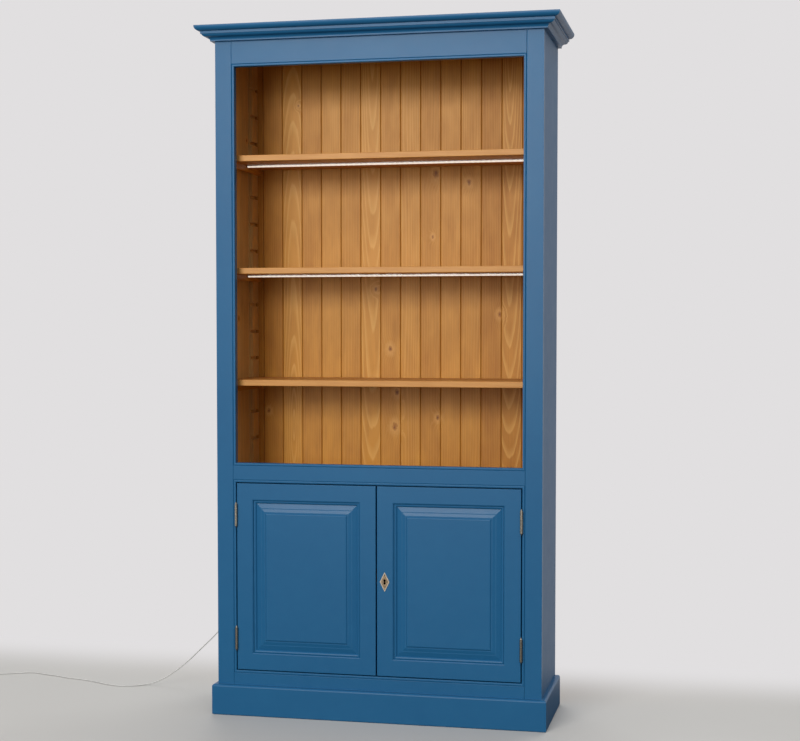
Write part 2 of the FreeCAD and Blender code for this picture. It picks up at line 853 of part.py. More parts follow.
def lock_body():
    """Outside of the mortise lock: case and forend."""
    y0 = front + lock_case_setback
    case = box(lock_case_x, lock_case_x + lock_case_depth, y0, y0 + lock_case_thickness,
               lock_case_foot, lock_case_foot + lock_case_height)
    forend = box(door_meeting, lock_case_x, bolt_y - forend_width / 2.0, bolt_y + forend_width / 2.0,
                 lock_case_foot - forend_margin, lock_case_foot + lock_case_height + forend_margin)
    return case.fuse(forend)


def lock_case():
    """Mortise lock with a channel for its bolt and a space for the key."""
    y0 = front + lock_case_setback
    channel = bolt_passage(door_meeting, lock_case_x + lock_case_depth - lock_wall, bolt_clearance)
    key_space = box(lock_x - key_space_width / 2.0, lock_x + key_space_width / 2.0, y0 + lock_wall,
                    y0 + lock_case_thickness - lock_wall, lock_z - key_space_drop, bolt_z)
    return lock_body().cut([channel, key_space, keyhole(y0, y0 + lock_wall)])


def lock_bolt():
    """Bolt of the lock, drawn back, with the talon that the key turns in."""
    tip = door_meeting + bolt_recess
    foot = bolt_z - bolt_height / 2.0
    bolt = bolt_passage(tip, tip + bolt_length, 0)
    bolt = rounded(bolt, 1.0, up, lambda p: near(p.x, tip))
    talon_x = lock_x - bolt_travel / 2.0
    talon = box(talon_x, talon_x + bolt_talon_width, front, door_back, foot, foot + bolt_talon_height)
    return bolt.cut(talon)


def escutcheon():
    """Lozenge plate round the keyhole."""
    y = front - escutcheon_thickness
    half_width, half_height = escutcheon_width / 2.0, escutcheon_height / 2.0
    lozenge = polygon([Vector(lock_x - half_width, y, lock_z), Vector(lock_x, y, lock_z - half_height),
                       Vector(lock_x + half_width, y, lock_z), Vector(lock_x, y, lock_z + half_height)])
    plate = lozenge.extrude(rearward * escutcheon_thickness)
    tips = box(lock_x - half_width, lock_x + half_width, y, front,
               lock_z - half_height + escutcheon_tip, lock_z + half_height - escutcheon_tip)
    return plate.common(tips).cut(keyhole(y, front))


def strike_recess(x0, x1):
    return box(-x0, -x1, bolt_y - strike_width / 2.0, bolt_y + strike_width / 2.0,
               bolt_z - strike_height / 2.0, bolt_z + strike_height / 2.0)


def strike_plate():
    """Strike plate in the edge of the left-hand door, with a slot for the lock bolt."""
    back_x = door_meeting + strike_thickness
    return strike_recess(door_meeting, back_x).cut(bolt_passage(-back_x, -door_meeting, strike_clearance))


def right_meeting_stile(stile):
    """Meeting stile cut for the lock and its keyhole."""
    return stile.cut([lock_body(), keyhole(front, front + lock_case_setback)])


def left_meeting_stile(stile):
    """Meeting stile cut for the strike plate and for the bolt's end behind it."""
    socket_end = door_meeting - bolt_travel - meeting_gap - strike_end_gap
    socket = bolt_passage(socket_end, -door_meeting, strike_clearance)
    recess = strike_recess(door_meeting, door_meeting + strike_thickness)
    return mirrored(stile).cut([recess, socket])


# ------------------------------------------------------------------ surface bolt

def bolt_guide():
    """Plate on the back of the left-hand door with two bored blocks that hold the rod."""
    half = guide_plate_width / 2.0
    guide = box(rod_x - half, rod_x + half, door_back, door_back + guide_plate_thickness,
                guide_foot, guide_top)
    block_half = guide_block_width / 2.0
    block_back = rod_y + rod_radius + guide_block_wall
    for z in (guide_foot + guide_block_inset, guide_top - guide_block_inset - guide_block_height):
        guide = guide.fuse(box(rod_x - block_half, rod_x + block_half, door_back, block_back,
                               z, z + guide_block_height))
    axis = Vector(rod_x, rod_y, 0)
    return guide.cut(bar(rod_radius + rod_clearance, axis + up * guide_foot, axis + up * guide_top))


def surface_bolt():
    """Rod with its knob, drawn down."""
    axis = Vector(rod_x, rod_y, rod_top)
    rod = bar(rod_radius, axis - up * rod_length, axis)
    knob_z = guide_foot + guide_block_inset + guide_block_height + rod_knob_radius + rod_travel / 8.0
    knob = Vector(rod_x, rod_y, knob_z)
    return rod.fuse(bar(rod_knob_radius, knob, knob + rearward * (rod_radius + rod_knob_length)))


# ------------------------------------------------------------------ cord

def cord_gland():
    """Gland through the left-hand side with a tapered boot."""
    neck = bar(gland_neck_radius, gland_point(-inner_side), gland_point(-half_case))
    flange_end = gland_point(-half_case - gland_flange)
    flange = bar(gland_flange_radius, gland_point(-half_case), flange_end)
    boot = Part.makeCone(gland_neck_radius, gland_tip_radius, gland_length - gland_flange,
                         flange_end, -right)
    return neck.fuse([flange, boot])


def cord_tube(points):
    """Round tube along straight runs joined by tangent arcs."""
    edges = []
    radii = []
    start = points[0]
    for before, corner, after in zip(points, points[1:], points[2:]):
        arriving = (corner - before).normalize()
        leaving = (after - corner).normalize()
        half_turn = arriving.getAngle(leaving) / 2.0
        trim = 0.45 * min((corner - before).Length, (after - corner).Length)
        radius = trim / math.tan(half_turn)
        radii.append(radius)
        arc_start = corner - arriving * trim
        arc_end = corner + leaving * trim
        inward = (leaving - arriving).normalize()
        middle = corner + inward * (radius / math.cos(half_turn) - radius)
        edges += [line(start, arc_start), arc(arc_start, middle, arc_end)]
        start = arc_end
    edges.append(line(start, points[-1]))
    path = Part.Wire(edges)
    section = Part.Wire(Part.Circle(points[0], points[1] - points[0], cord_radius).toShape())
    tube = path.makePipeShell([section], True, False)
    solid = Part.Solid(tube) if tube.ShapeType == "Shell" else tube
    print("cord radii", [round(r) for r in radii])
    print("cord length", round(path.Length, 1), "tube volume / (section x length)",
          round(solid.Volume / (math.pi * cord_radius ** 2 * path.Length), 4))
    return solid


def cord_coil():
    """Outer shape of the wound-up spare length, with the ends that lead in and out."""
    centre = Vector(coil_x, coil_y, cord_floor_gap - coil_looseness / 2.0)
    height = coil_layers * cord_diameter + coil_looseness
    ring = Part.makeCylinder(coil_outer_turn + cord_radius + coil_looseness, height, centre)
    ring = ring.cut(Part.makeCylinder(coil_inner_turn - cord_radius - coil_looseness, height, centre))
    lead_in = Vector(coil_x, coil_y + coil_outer_turn, cord_floor)
    lead_out = Vector(coil_x, coil_y - coil_outer_turn, cord_floor + (coil_layers - 1) * cord_diameter)
    reach = right * coil_lead
    return ring.fuse([bar(cord_radius, end, end + reach) for end in (lead_in, lead_out)])


def power_plug():
    """Plug-in power supply lying on its back, with two round pins."""
    neck_z = cord_floor + (coil_layers - 1) * cord_diameter
    neck_start = Vector(coil_x + coil_lead, coil_y - coil_outer_turn, neck_z)
    body_x = neck_start.x + plug_neck_length
    neck = Part.makeCone(plug_neck_tip_radius, plug_neck_radius, plug_neck_length, neck_start, right)
    half = plug_width / 2.0
    body = box(body_x, body_x + plug_length, neck_start.y - half, neck_start.y + half, 0, plug_height)
    body = rounded(body, plug_round, up, lambda p: True)
    pin_x = body_x + plug_length - plug_boss_length
    boss = box(pin_x - plug_boss_length / 2.0, pin_x + plug_boss_length / 2.0,
               neck_start.y - half + plug_round, neck_start.y + half - plug_round,
               plug_height, plug_height + plug_boss_height)
    pins = []
    for side in (-1, 1):
        foot = Vector(pin_x, neck_start.y + side * plug_pin_spread / 2.0, plug_height + plug_boss_height)
        pins.append(bar(plug_pin_radius, foot, foot + up * plug_pin_length))
    return body.fuse([neck, boss] + pins)


# ------------------------------------------------------------------ sub-parts

# Case
save("side_right", side_panel())
save("side_left", left_side_panel())
save("top_board", fixed_board(roof_foot))
save("mid_board", fixed_board(mid_board_foot))
save("base_board", fixed_board(base_board_foot))

# Face frame
save("stile_right", frame_stile())
save("stile_left", mirrored(frame_stile()))
save("top_rail", frame_rail(top_rail_levels, [top_rail_foot]))
save("mid_rail", frame_rail(mid_rail_levels, [mid_rail_foot, mid_rail_top]))
save("bottom_rail", frame_rail(bottom_rail_levels, [bottom_rail_top]))
save("upper_bead", bead_frame(upper_opening_foot, upper_opening_top))
save("door_bead", bead_frame(door_opening_foot, door_opening_top))

# Mouldings
save("cornice_front", front_moulding(cornice_outline(), cornice_overhang))
cornice_side = side_moulding(cornice_outline(), cornice_overhang)
save("cornice_right", cornice_side)
save("cornice_left", mirrored(cornice_side))
save("plinth_front", front_moulding(plinth_outline(), plinth_thickness))
plinth_side = side_moulding(plinth_outline(), plinth_thickness)
save("plinth_right", plinth_side)
save("plinth_left", mirrored(plinth_side))

# Back
boards = back_boards()
group_size = math.ceil(len(boards) / back_board_groups)
for number in range(back_board_groups):
    chosen = boards[number * group_size:(number + 1) * group_size]
    save("back_boards_" + str(number + 1), group(chosen))

# Shelf ladders, cleats and shelves
for place, ladder_y in (("front", frame_back), ("back", back_face - ladder_width)):
    batten = ladder(ladder_y)
    save("ladder_" + place + "_right", batten)
    save("ladder_" + place + "_left", mirrored(batten))
shelf_places = {"lower": lower_shelf_notch_count, "middle": middle_shelf_notch_count,
                "upper": upper_shelf_notch_count}
cleats = [shelf_cleat(notch) for notch in shelf_places.values()]
save("shelf_cleats_right", group(cleats))
save("shelf_cleats_left", group([mirrored(cleat) for cleat in cleats]))
for place, notch in shelf_places.items():
    save("shelf_" + place, shelf(notch))
lit_shelves = (middle_shelf_notch_count, upper_shelf_notch_count)
save("led_channels", group([led_channel(notch) for notch in lit_shelves]))
save("led_diffusers", group([led_diffuser(notch) for notch in lit_shelves]))

# Cabinet
save("cabinet_shelf", cabinet_shelf())
save("cabinet_cleats", group([cabinet_cleat(), mirrored(cabinet_cleat())]))
save("door_stop", door_stop())

# Doors
hinge_stile = door_stile(door_outer, -1)
meeting_stile = door_stile(door_meeting, 1)
door_pieces = {
    "hinge_stile": hinge_stile,
    "top_rail": door_rail(door_top, -1),
    "bottom_rail": door_rail(door_foot, 1),
    "panel": door_panel(),
    "hinge_leaves": group([door_hinge(z) for z in hinge_levels]),
}
for name, piece in door_pieces.items():
    save("right_" + name, piece)
    save("left_" + name, mirrored(piece))
save("right_meeting_stile", right_meeting_stile(meeting_stile))
save("left_meeting_stile", left_meeting_stile(meeting_stile))
frame_halves = [frame_hinge(z) for z in hinge_levels]
pins = [hinge_pin(z) for z in hinge_levels]
save("hinge_frame_leaves", group(frame_halves + [mirrored(half) for half in frame_halves]))
save("hinge_pins", group(pins + [mirrored(pin) for pin in pins]))

# Lock and bolts
save("lock_case", lock_case())
save("lock_bolt", lock_bolt())
save("escutcheon", escutcheon())
save("strike_plate", strike_plate())
save("bolt_guide", bolt_guide())
save("surface_bolt", surface_bolt())

# Cord
save("cord_gland", cord_gland())
save("cord_lead", cord_tube(cord_route))
save("cord_coil", cord_coil())
save("power_plug", power_plug())
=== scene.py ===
import json
import math

import bmesh
import bpy
from mathutils import Matrix, Vector


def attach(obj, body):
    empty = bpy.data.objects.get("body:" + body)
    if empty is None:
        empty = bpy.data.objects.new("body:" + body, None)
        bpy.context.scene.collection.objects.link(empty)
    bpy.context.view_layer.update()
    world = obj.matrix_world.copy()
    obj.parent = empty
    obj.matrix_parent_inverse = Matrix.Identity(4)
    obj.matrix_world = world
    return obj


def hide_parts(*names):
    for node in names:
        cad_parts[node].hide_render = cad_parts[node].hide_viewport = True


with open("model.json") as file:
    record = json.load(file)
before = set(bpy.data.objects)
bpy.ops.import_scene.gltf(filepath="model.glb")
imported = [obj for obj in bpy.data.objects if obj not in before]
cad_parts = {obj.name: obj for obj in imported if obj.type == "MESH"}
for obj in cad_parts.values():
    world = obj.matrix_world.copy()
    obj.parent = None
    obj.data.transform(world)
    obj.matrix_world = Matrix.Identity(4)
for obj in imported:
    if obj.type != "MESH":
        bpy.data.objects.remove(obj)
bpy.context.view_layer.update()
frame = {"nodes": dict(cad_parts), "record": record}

# The bookcase stands on z = 0, its front looks along -Y and its middle is at x = 0.
# Lengths are in metres.
X, Y, Z = 0, 1, 2


# ---------------------------------------------------------------- helpers

def colour(code):
    """Linear RGBA of an sRGB hex code."""
    parts = [int(code[i:i + 2], 16) / 255 for i in (1, 3, 5)]
    return tuple(c / 12.92 if c <= 0.04045 else ((c + 0.055) / 1.055) ** 2.4 for c in parts) + (1.0,)


def add(tree, kind, inputs=None, stops=(), **settings):
    """Adds a node, gives it its settings and a ramp its stops, and sets or links its inputs."""
    made = tree.nodes.new(kind)
    for name, value in settings.items():
        setattr(made, name, value)
    # A ramp starts with two stops
    for _ in stops[2:]:
        made.color_ramp.elements.new(0.999)
    for number, (position, shade) in enumerate(stops):
        made.color_ramp.elements[number].position = position
        made.color_ramp.elements[number].color = shade
    for name, value in (inputs or {}).items():
        if isinstance(value, bpy.types.NodeSocket):
            tree.links.new(value, made.inputs[name])
        else:
            made.inputs[name].default_value = value
    return made


def stretched(axis, along, across):
    """Scale of a pattern that is drawn out along one axis."""
    scale = [across, across, across]
    scale[axis] = along
    return scale


# ---------------------------------------------------------------- camera

CAMERA_PLACE = (1.0991, -4.8139, 1.2229)
CAMERA_PITCH = math.radians(87.33)
CAMERA_TURN = math.radians(12.35)
SENSOR_WIDTH = 36
FOCAL_LENGTH = 70.41
FRAME_SHIFT = (-0.00104, 0.0364)

bpy.ops.object.camera_add(location=CAMERA_PLACE, rotation=(CAMERA_PITCH, 0, CAMERA_TURN))
camera = bpy.context.object
camera.data.sensor_fit = "HORIZONTAL"
camera.data.sensor_width = SENSOR_WIDTH
camera.data.lens = FOCAL_LENGTH
camera.data.shift_x, camera.data.shift_y = FRAME_SHIFT
bpy.context.scene.camera = camera


# ---------------------------------------------------------------- lead of the shelf lights

LEAD_DIAMETER = 0.004
LEAD_ROUTE = [
    (-0.535, 0.180, 0.262), (-0.563, 0.180, 0.262), (-0.600, 0.180, 0.223), (-0.640, 0.180, 0.178),
    (-0.683, 0.180, 0.137), (-0.726, 0.180, 0.095), (-0.771, 0.180, 0.057), (-0.818, 0.179, 0.025),
    (-0.866, 0.173, 0.005), (-0.912, 0.146, 0.0021), (-0.966, 0.131, 0.0021), (-1.020, 0.147, 0.0021),
    (-1.072, 0.176, 0.0021), (-1.128, 0.196, 0.0021), (-1.184, 0.208, 0.0021), (-1.238, 0.231, 0.0021),
    (-1.292, 0.246, 0.0021), (-1.344, 0.267, 0.0021), (-1.394, 0.239, 0.0021), (-1.447, 0.214, 0.0021),
    (-1.480, 0.188, 0.0021), (-1.508, 0.164, 0.0021), (-1.536, 0.164, 0.0021),
]
COIL_CENTRE = (-1.552, 0.138)
# Turns done, radius and height: nearly three turns inwards on the floor, then as many outwards on
# top of them
COIL_PLAN = [(0, 0.026, 0.0021), (5 / 6, 0.026, 0.0021), (1, 0.022, 0.0021), (11 / 6, 0.022, 0.0021),
             (2, 0.018, 0.0021), (16 / 6, 0.018, 0.0021), (17 / 6, 0.018, 0.0061),
             (3.5, 0.018, 0.0061), (22 / 6, 0.022, 0.0061), (4.5, 0.022, 0.0061),
             (28 / 6, 0.026, 0.0061), (5.6, 0.026, 0.0061)]
COIL_TURNS = 5.5
STEPS_A_TURN = 16
PLUG_NECK = (-1.536, 0.112, 0.0061)


def planned(turns, column):
    """Radius or height of the coil after that many turns."""
    turns = max(turns, 0)
    for before, after in zip(COIL_PLAN, COIL_PLAN[1:]):
        if turns <= after[0]:
            share = (turns - before[0]) / (after[0] - before[0])
            return before[column] + share * (after[column] - before[column])
    return COIL_PLAN[-1][column]


def make_lead():
    """The lead and its wound-up spare length, one line from the gland to the plug."""
    points = [Vector(p) for p in LEAD_ROUTE]
    half_step = math.pi / STEPS_A_TURN
    for k in range(-1, round(COIL_TURNS * STEPS_A_TURN) + 1):
        turns = (k + 0.5) / STEPS_A_TURN
        angle = math.pi / 2 + turns * 2 * math.pi
        radius = planned(turns, 1) / math.cos(half_step)
        points.append(Vector((COIL_CENTRE[0] + radius * math.cos(angle),
                              COIL_CENTRE[1] + radius * math.sin(angle), planned(turns, 2))))
    points.append(Vector(PLUG_NECK))
    data = bpy.data.curves.new("shelf_light_lead", "CURVE")
    data.dimensions = "3D"
    spline = data.splines.new("NURBS")
    spline.points.add(len(points) - 1)
    for point, place in zip(spline.points, points):
        point.co = (*place, 1)
    spline.order_u = 3
    spline.use_endpoint_u = True
    data.resolution_u = 6
    data.bevel_depth = LEAD_DIAMETER / 2
    data.bevel_resolution = 3
    data.use_fill_caps = True
    lead = bpy.data.objects.new("shelf_light_lead", data)
    bpy.context.scene.collection.objects.link(lead)
    return lead


# ---------------------------------------------------------------- finishes

GRAIN_RELIEF = 0.0004
METAL_RELIEF = 0.0002
PLASTIC_RELIEF = 0.0001
RELIEF_STRENGTH = 0.2


def new_finish(name, inputs=None):
    """A material with its shader, ready for a pattern, and the shader's plain inputs set."""
    material = bpy.data.materials.new(name)
    material.use_nodes = True
    tree = material.node_tree
    tree.nodes.clear()
    shader = add(tree, "ShaderNodeBsdfPrincipled", inputs)
    add(tree, "ShaderNodeOutputMaterial", {"Surface": shader.outputs["BSDF"]})
    return material, tree, shader


def join(tree, shader, tint, gloss, relief, depth):
    """Links a pattern's colour, roughness and height to the shader."""
    bump = add(tree, "ShaderNodeBump", {"Strength": RELIEF_STRENGTH, "Distance": depth, "Height": relief})
    tree.links.new(tint, shader.inputs["Base Color"])
    tree.links.new(gloss, shader.inputs["Roughness"])
    tree.links.new(bump.outputs["Normal"], shader.inputs["Normal"])


def lay_over(material, share, code):
    """Covers the finish's colour with a plain tone, by the share."""
    tree = material.node_tree
    base = tree.nodes["Principled BSDF"].inputs["Base Color"]
    both = add(tree, "ShaderNodeMix", {0: share, 6: base.links[0].from_socket, 7: colour(code)},
               data_type="RGBA").outputs[2]
    tree.links.new(both, base)


# ---------------------------------------------------------------- paint

PAINT_TONES = ("#1e5d8b", "#226492")
MOTTLE_SHARE = 0.35
DOOR_PAINT = {"sheen": 0.15, "matt": 0.38}


def satin_paint(tree, grain, matt):
    """Satin acrylic furniture paint, brushed out along the grain of the pine under it: an even
    blue with faint clouds, fine brush lines and the grain just showing as relief."""
    place = add(tree, "ShaderNodeTexCoord").outputs["Object"]
    # Brush lines about 3 mm apart and 80 mm long
    brushed = add(tree, "ShaderNodeMapping",
                  {"Vector": place, "Scale": stretched(grain, along=12.0, across=330.0)})
    lines = add(tree, "ShaderNodeTexNoise", {"Vector": brushed.outputs[0], "Scale": 1.0, "Detail": 3.0})
    # Clouds a third of a metre across, where the coats lie thicker or thinner
    clouds = add(tree, "ShaderNodeTexNoise", {"Vector": place, "Scale": 3.0, "Detail": 3.0})
    mottle = add(tree, "ShaderNodeTexNoise", {"Vector": place, "Scale": 26.0, "Detail": 4.0})
    cloudy = add(tree, "ShaderNodeMix", {
        0: MOTTLE_SHARE, 6: clouds.outputs["Color"], 7: mottle.outputs["Color"]},
        data_type="RGBA").outputs[2]
    tint = add(tree, "ShaderNodeValToRGB", {"Fac": cloudy},
               stops=[(0.30, colour(PAINT_TONES[0])), (0.70, colour(PAINT_TONES[1]))])
    gloss = add(tree, "ShaderNodeMapRange", {
        "Value": mottle.outputs["Fac"], "From Min": 0.3, "From Max": 0.7,
        "To Min": matt - 0.02, "To Max": matt + 0.02})
    return tint.outputs["Color"], gloss.outputs[0], lines.outputs["Fac"]


def painted(name, grain, sheen=0.14, matt=0.41):
    """Paint on a whole piece, with a clear top coat that draws a thin light line along every
    rounded edge."""
    material, tree, shader = new_finish(name, {"Specular IOR Level": sheen, "Coat Weight": 0.12,
                                               "Coat Roughness": 0.25})
    join(tree, shader, *satin_paint(tree, grain, matt), depth=GRAIN_RELIEF)
    return material


# ---------------------------------------------------------------- pine

HONEY_STAIN = ("#a46a23", "#ca8e31")
# A paler, less saturated copy of the honey stain for the side walls and battens, which stand in shade:
# painted light that lifts their shaded colour
SHADE_LIFTED_STAIN = ("#b08b55", "#d1ab6c")
BROWNER_STAIN = ("#ab7136", "#ca8f4c")
LATE_WOOD = "#e8b866"
JOINT_TONE = "#7a4a1e"
JOINT_SHARE = 0.38
# What a board's own tone, its fibres and its blotches add to how light it is
BOARD_SHARE = 0.32
FIBRE_SHARE = 0.30
BLOTCH_SHARE = 0.42
BLACK = (0, 0, 0, 1)
WHITE = (1, 1, 1, 1)
# Rings 6.5 mm apart: true pine has them 2 to 5 mm apart, which would not show
RING_PITCH = 0.0065
RING_WOBBLE = 0.5
# The heart's sway, and how far apart in its noise two neighbouring boards lie
HEART_SWAY = 0.03
BOARD_SHIFT = 7.31
# Depths from the face repeat every 352 mm, as far apart as the shelves, so each has its own face
DEPTH_RANGE = (-0.100, 0.252)
# A knot is longer along the board than across it, and its outline is ragged
KNOT_SQUASH = 0.7
KNOT_RAGGED = 1.1
# The knots' ramp is 3.3 knot radii long: dark heart, brown body, and a pale halo out to 2.5
KNOT_RAMP_SHARE = 0.3
KNOT_STOPS = [(0.0, "#85501c", 1.0), (0.09, "#85501c", 1.0), (0.14, "#a86e2a", 1.0),
              (0.24, "#b37b34", 0.85), (0.33, "#d9a65c", 0.5), (0.75, "#d9a65c", 0.0)]


def board_and_place(tree, across_at, start, width):
    """Which board of the panel, counted at its middle, and the place across it from there."""
    shifted = add(tree, "ShaderNodeMath", {0: across_at, 1: start}, operation="SUBTRACT").outputs[0]
    counted = add(tree, "ShaderNodeMath", {0: shifted, 1: width}, operation="DIVIDE").outputs[0]
    number = add(tree, "ShaderNodeMath", {0: counted}, operation="FLOOR").outputs[0]
    middle = add(tree, "ShaderNodeMath", {0: number, 1: 0.5}, operation="ADD").outputs[0]
    local = add(tree, "ShaderNodeMath", {0: counted, 1: middle}, operation="SUBTRACT").outputs[0]
    local = add(tree, "ShaderNodeMath", {0: local, 1: width}, operation="MULTIPLY").outputs[0]
    return middle, local


def board_figure(tree, middle, figures, seed):
    """Pith offset, pith depth and drift of each board, each from 0 to 1, and its tone."""
    if figures:
        # The four of each board in turn, packed as a colour
        turn = add(tree, "ShaderNodeMath", {0: middle, 1: 1 / len(figures)},
                   operation="MULTIPLY").outputs[0]
        drawn = add(tree, "ShaderNodeValToRGB", {"Fac": turn},
                    stops=[(number / len(figures), figure) for number, figure in enumerate(figures)])
        drawn.color_ramp.interpolation = "CONSTANT"
        tone = drawn.outputs["Alpha"]
    else:
        turn = add(tree, "ShaderNodeMath", {0: middle, 1: seed}, operation="ADD").outputs[0]
        drawn = add(tree, "ShaderNodeTexWhiteNoise", {"W": turn}, noise_dimensions="1D")
        tone = drawn.outputs["Value"]
    return add(tree, "ShaderNodeSeparateColor", {0: drawn.outputs["Color"]}).outputs, tone


def heart_depth(tree, middle, along_at, figure, heart, seed):
    """How deep the tree's heart lies: it drifts along the board and wanders slowly, different
    on each."""
    shove = add(tree, "ShaderNodeMath", {0: middle, 1: BOARD_SHIFT}, operation="MULTIPLY").outputs[0]
    sway_at = add(tree, "ShaderNodeCombineXYZ", {0: shove, 1: along_at, 2: seed}).outputs[0]
    sway = add(tree, "ShaderNodeTexNoise", {"Vector": sway_at, "Scale": 1.3, "Detail": 1.0})
    pith = add(tree, "ShaderNodeMapRange",
               {"Value": figure[1], "To Min": 0.012, "To Max": 0.05}).outputs[0]
    drift = add(tree, "ShaderNodeMapRange",
                {"Value": figure[2], "To Min": -0.08, "To Max": 0.08}).outputs[0]
    level = add(tree, "ShaderNodeMath", {0: along_at, 1: heart}, operation="SUBTRACT").outputs[0]
    fallen = add(tree, "ShaderNodeMath", {0: level, 1: drift, 2: pith}, operation="MULTIPLY_ADD").outputs[0]
    return add(tree, "ShaderNodeMath", {0: sway.outputs["Fac"], 1: HEART_SWAY, 2: fallen},
               operation="MULTIPLY_ADD").outputs[0]


def heart_distance(tree, local, depth_at, figure, face, deep):
    """Distance from the tree's heart, which lies aside of the board's middle and deep below its
    face."""
    sunk = add(tree, "ShaderNodeMath", {0: depth_at, 1: face}, operation="SUBTRACT").outputs[0]
    sunk = add(tree, "ShaderNodeMath", {0: sunk, 1: DEPTH_RANGE[1], 2: DEPTH_RANGE[0]},
               operation="WRAP").outputs[0]
    below = add(tree, "ShaderNodeMath", {0: deep, 1: sunk}, operation="ADD").outputs[0]
    pith = add(tree, "ShaderNodeMapRange", {"Value": figure[0], "To Min": -0.09, "To Max": 0.09}).outputs[0]
    aside = add(tree, "ShaderNodeMath", {0: local, 1: pith}, operation="SUBTRACT").outputs[0]
    spot = add(tree, "ShaderNodeCombineXYZ", {0: aside, 1: below}).outputs[0]
    return add(tree, "ShaderNodeVectorMath", {0: spot}, operation="LENGTH").outputs["Value"]


def knot_distance(tree, place, across_at, along_at, knots):
    """Distance to the nearest knot, in knot radii, with a ragged outline. Each knot is given by
    its place across and along, and its radius."""
    squashed = add(tree, "ShaderNodeMath", {0: along_at, 1: KNOT_SQUASH}, operation="MULTIPLY").outputs[0]
    flat = add(tree, "ShaderNodeCombineXYZ", {0: across_at, 1: squashed}).outputs[0]
    gaps = []
    for across, along, size in knots:
        gap = add(tree, "ShaderNodeVectorMath", {0: flat, 1: (across, along * KNOT_SQUASH, 0)},
                  operation="DISTANCE").outputs["Value"]
        gaps.append(add(tree, "ShaderNodeMath", {0: gap, 1: size}, operation="DIVIDE").outputs[0])
    near = gaps[0]
    for gap in gaps[1:]:
        near = add(tree, "ShaderNodeMath", {0: near, 1: gap}, operation="MINIMUM").outputs[0]
    ragged = add(tree, "ShaderNodeTexNoise", {"Vector": place, "Scale": 110.0, "Detail": 3.0})
    near = add(tree, "ShaderNodeMath", {0: ragged.outputs["Fac"], 1: KNOT_RAGGED, 2: near},
               operation="MULTIPLY_ADD").outputs[0]
    # The noise is about a half at its middle
    return add(tree, "ShaderNodeMath", {0: near, 1: 0.5}, operation="SUBTRACT").outputs[0]


def bend_round_knots(tree, radius, near):
    """The rings swerve where a knot pushes them aside."""
    eddy = add(tree, "ShaderNodeMapRange", {
        "Value": near, "From Min": 0.5, "From Max": 5.0, "To Min": 0.010, "To Max": 0.0},
        interpolation_type="SMOOTHERSTEP").outputs[0]
    return add(tree, "ShaderNodeMath", {0: radius, 1: eddy}, operation="ADD").outputs[0]


def ring_lines(tree, place, grain, radius):
    """The late wood: 1 along the crest of each ring and 0 between them."""
    wobble_at = add(tree, "ShaderNodeVectorMath", {0: place, 1: stretched(grain, along=3.0, across=60.0)},
                    operation="MULTIPLY").outputs[0]
    wobble = add(tree, "ShaderNodeTexNoise", {"Vector": wobble_at, "Scale": 1.0, "Detail": 2.0})
    rings = add(tree, "ShaderNodeMath", {0: radius, 1: RING_PITCH}, operation="DIVIDE").outputs[0]
    rings = add(tree, "ShaderNodeMath", {0: wobble.outputs["Fac"], 1: RING_WOBBLE, 2: rings},
                operation="MULTIPLY_ADD").outputs[0]
    rings = add(tree, "ShaderNodeMath", {0: rings}, operation="FRACT").outputs[0]
    return add(tree, "ShaderNodeValToRGB", {"Fac": rings},
               stops=[(0.42, BLACK), (0.82, WHITE), (0.91, BLACK)]).outputs["Color"]


def ring_clarity(tree, figure):
    """The flames of a board cut near the heart stand out, and straight grain is faint."""
    off_heart = add(tree, "ShaderNodeMath", {0: figure[0], 1: 0.5}, operation="SUBTRACT").outputs[0]
    off_heart = add(tree, "ShaderNodeMath", {0: off_heart}, operation="ABSOLUTE").outputs[0]
    return add(tree, "ShaderNodeMapRange", {
        "Value": off_heart, "From Max": 0.4, "To Min": 0.50, "To Max": 0.12}).outputs[0]


def stained_wood(tree, place, grain, tone, stain):
    """How little stain the early wood took, its colour, and its fibres as height."""
    # Fibres a millimetre or two wide and a hand long
    fibre_at = add(tree, "ShaderNodeMapping",
                   {"Vector": place, "Scale": stretched(grain, along=9.0, across=620.0)})
    fibres = add(tree, "ShaderNodeTexNoise",
                 {"Vector": fibre_at.outputs[0], "Scale": 1.0, "Detail": 2.0}).outputs["Fac"]
    # Blotches where the stain went in deeper
    blotch_at = add(tree, "ShaderNodeMapping",
                    {"Vector": place, "Scale": stretched(grain, along=9.0, across=30.0)})
    blotches = add(tree, "ShaderNodeTexNoise",
                   {"Vector": blotch_at.outputs[0], "Scale": 1.0, "Detail": 3.0}).outputs["Fac"]
    mixed = add(tree, "ShaderNodeMath", {0: tone, 1: BOARD_SHARE}, operation="MULTIPLY").outputs[0]
    mixed = add(tree, "ShaderNodeMath", {0: fibres, 1: FIBRE_SHARE, 2: mixed},
                operation="MULTIPLY_ADD").outputs[0]
    mixed = add(tree, "ShaderNodeMath", {0: blotches, 1: BLOTCH_SHARE, 2: mixed},
                operation="MULTIPLY_ADD").outputs[0]
    ground = add(tree, "ShaderNodeValToRGB", {"Fac": mixed},
                 stops=[(0.30, colour(stain[0])), (0.68, colour(stain[1]))])
    return mixed, ground.outputs["Color"], fibres


def darken_joints(tree, tint, local, reach):
    """Stain gathers in the joints, which begin at this reach from a board's middle."""
    aside = add(tree, "ShaderNodeMath", {0: local}, operation="ABSOLUTE").outputs[0]
    seam = add(tree, "ShaderNodeMath", {0: aside, 1: reach}, operation="GREATER_THAN").outputs[0]
    seam = add(tree, "ShaderNodeMath", {0: seam, 1: JOINT_SHARE}, operation="MULTIPLY").outputs[0]
    return add(tree, "ShaderNodeMix", {0: seam, 6: tint, 7: colour(JOINT_TONE)},
               data_type="RGBA").outputs[2]


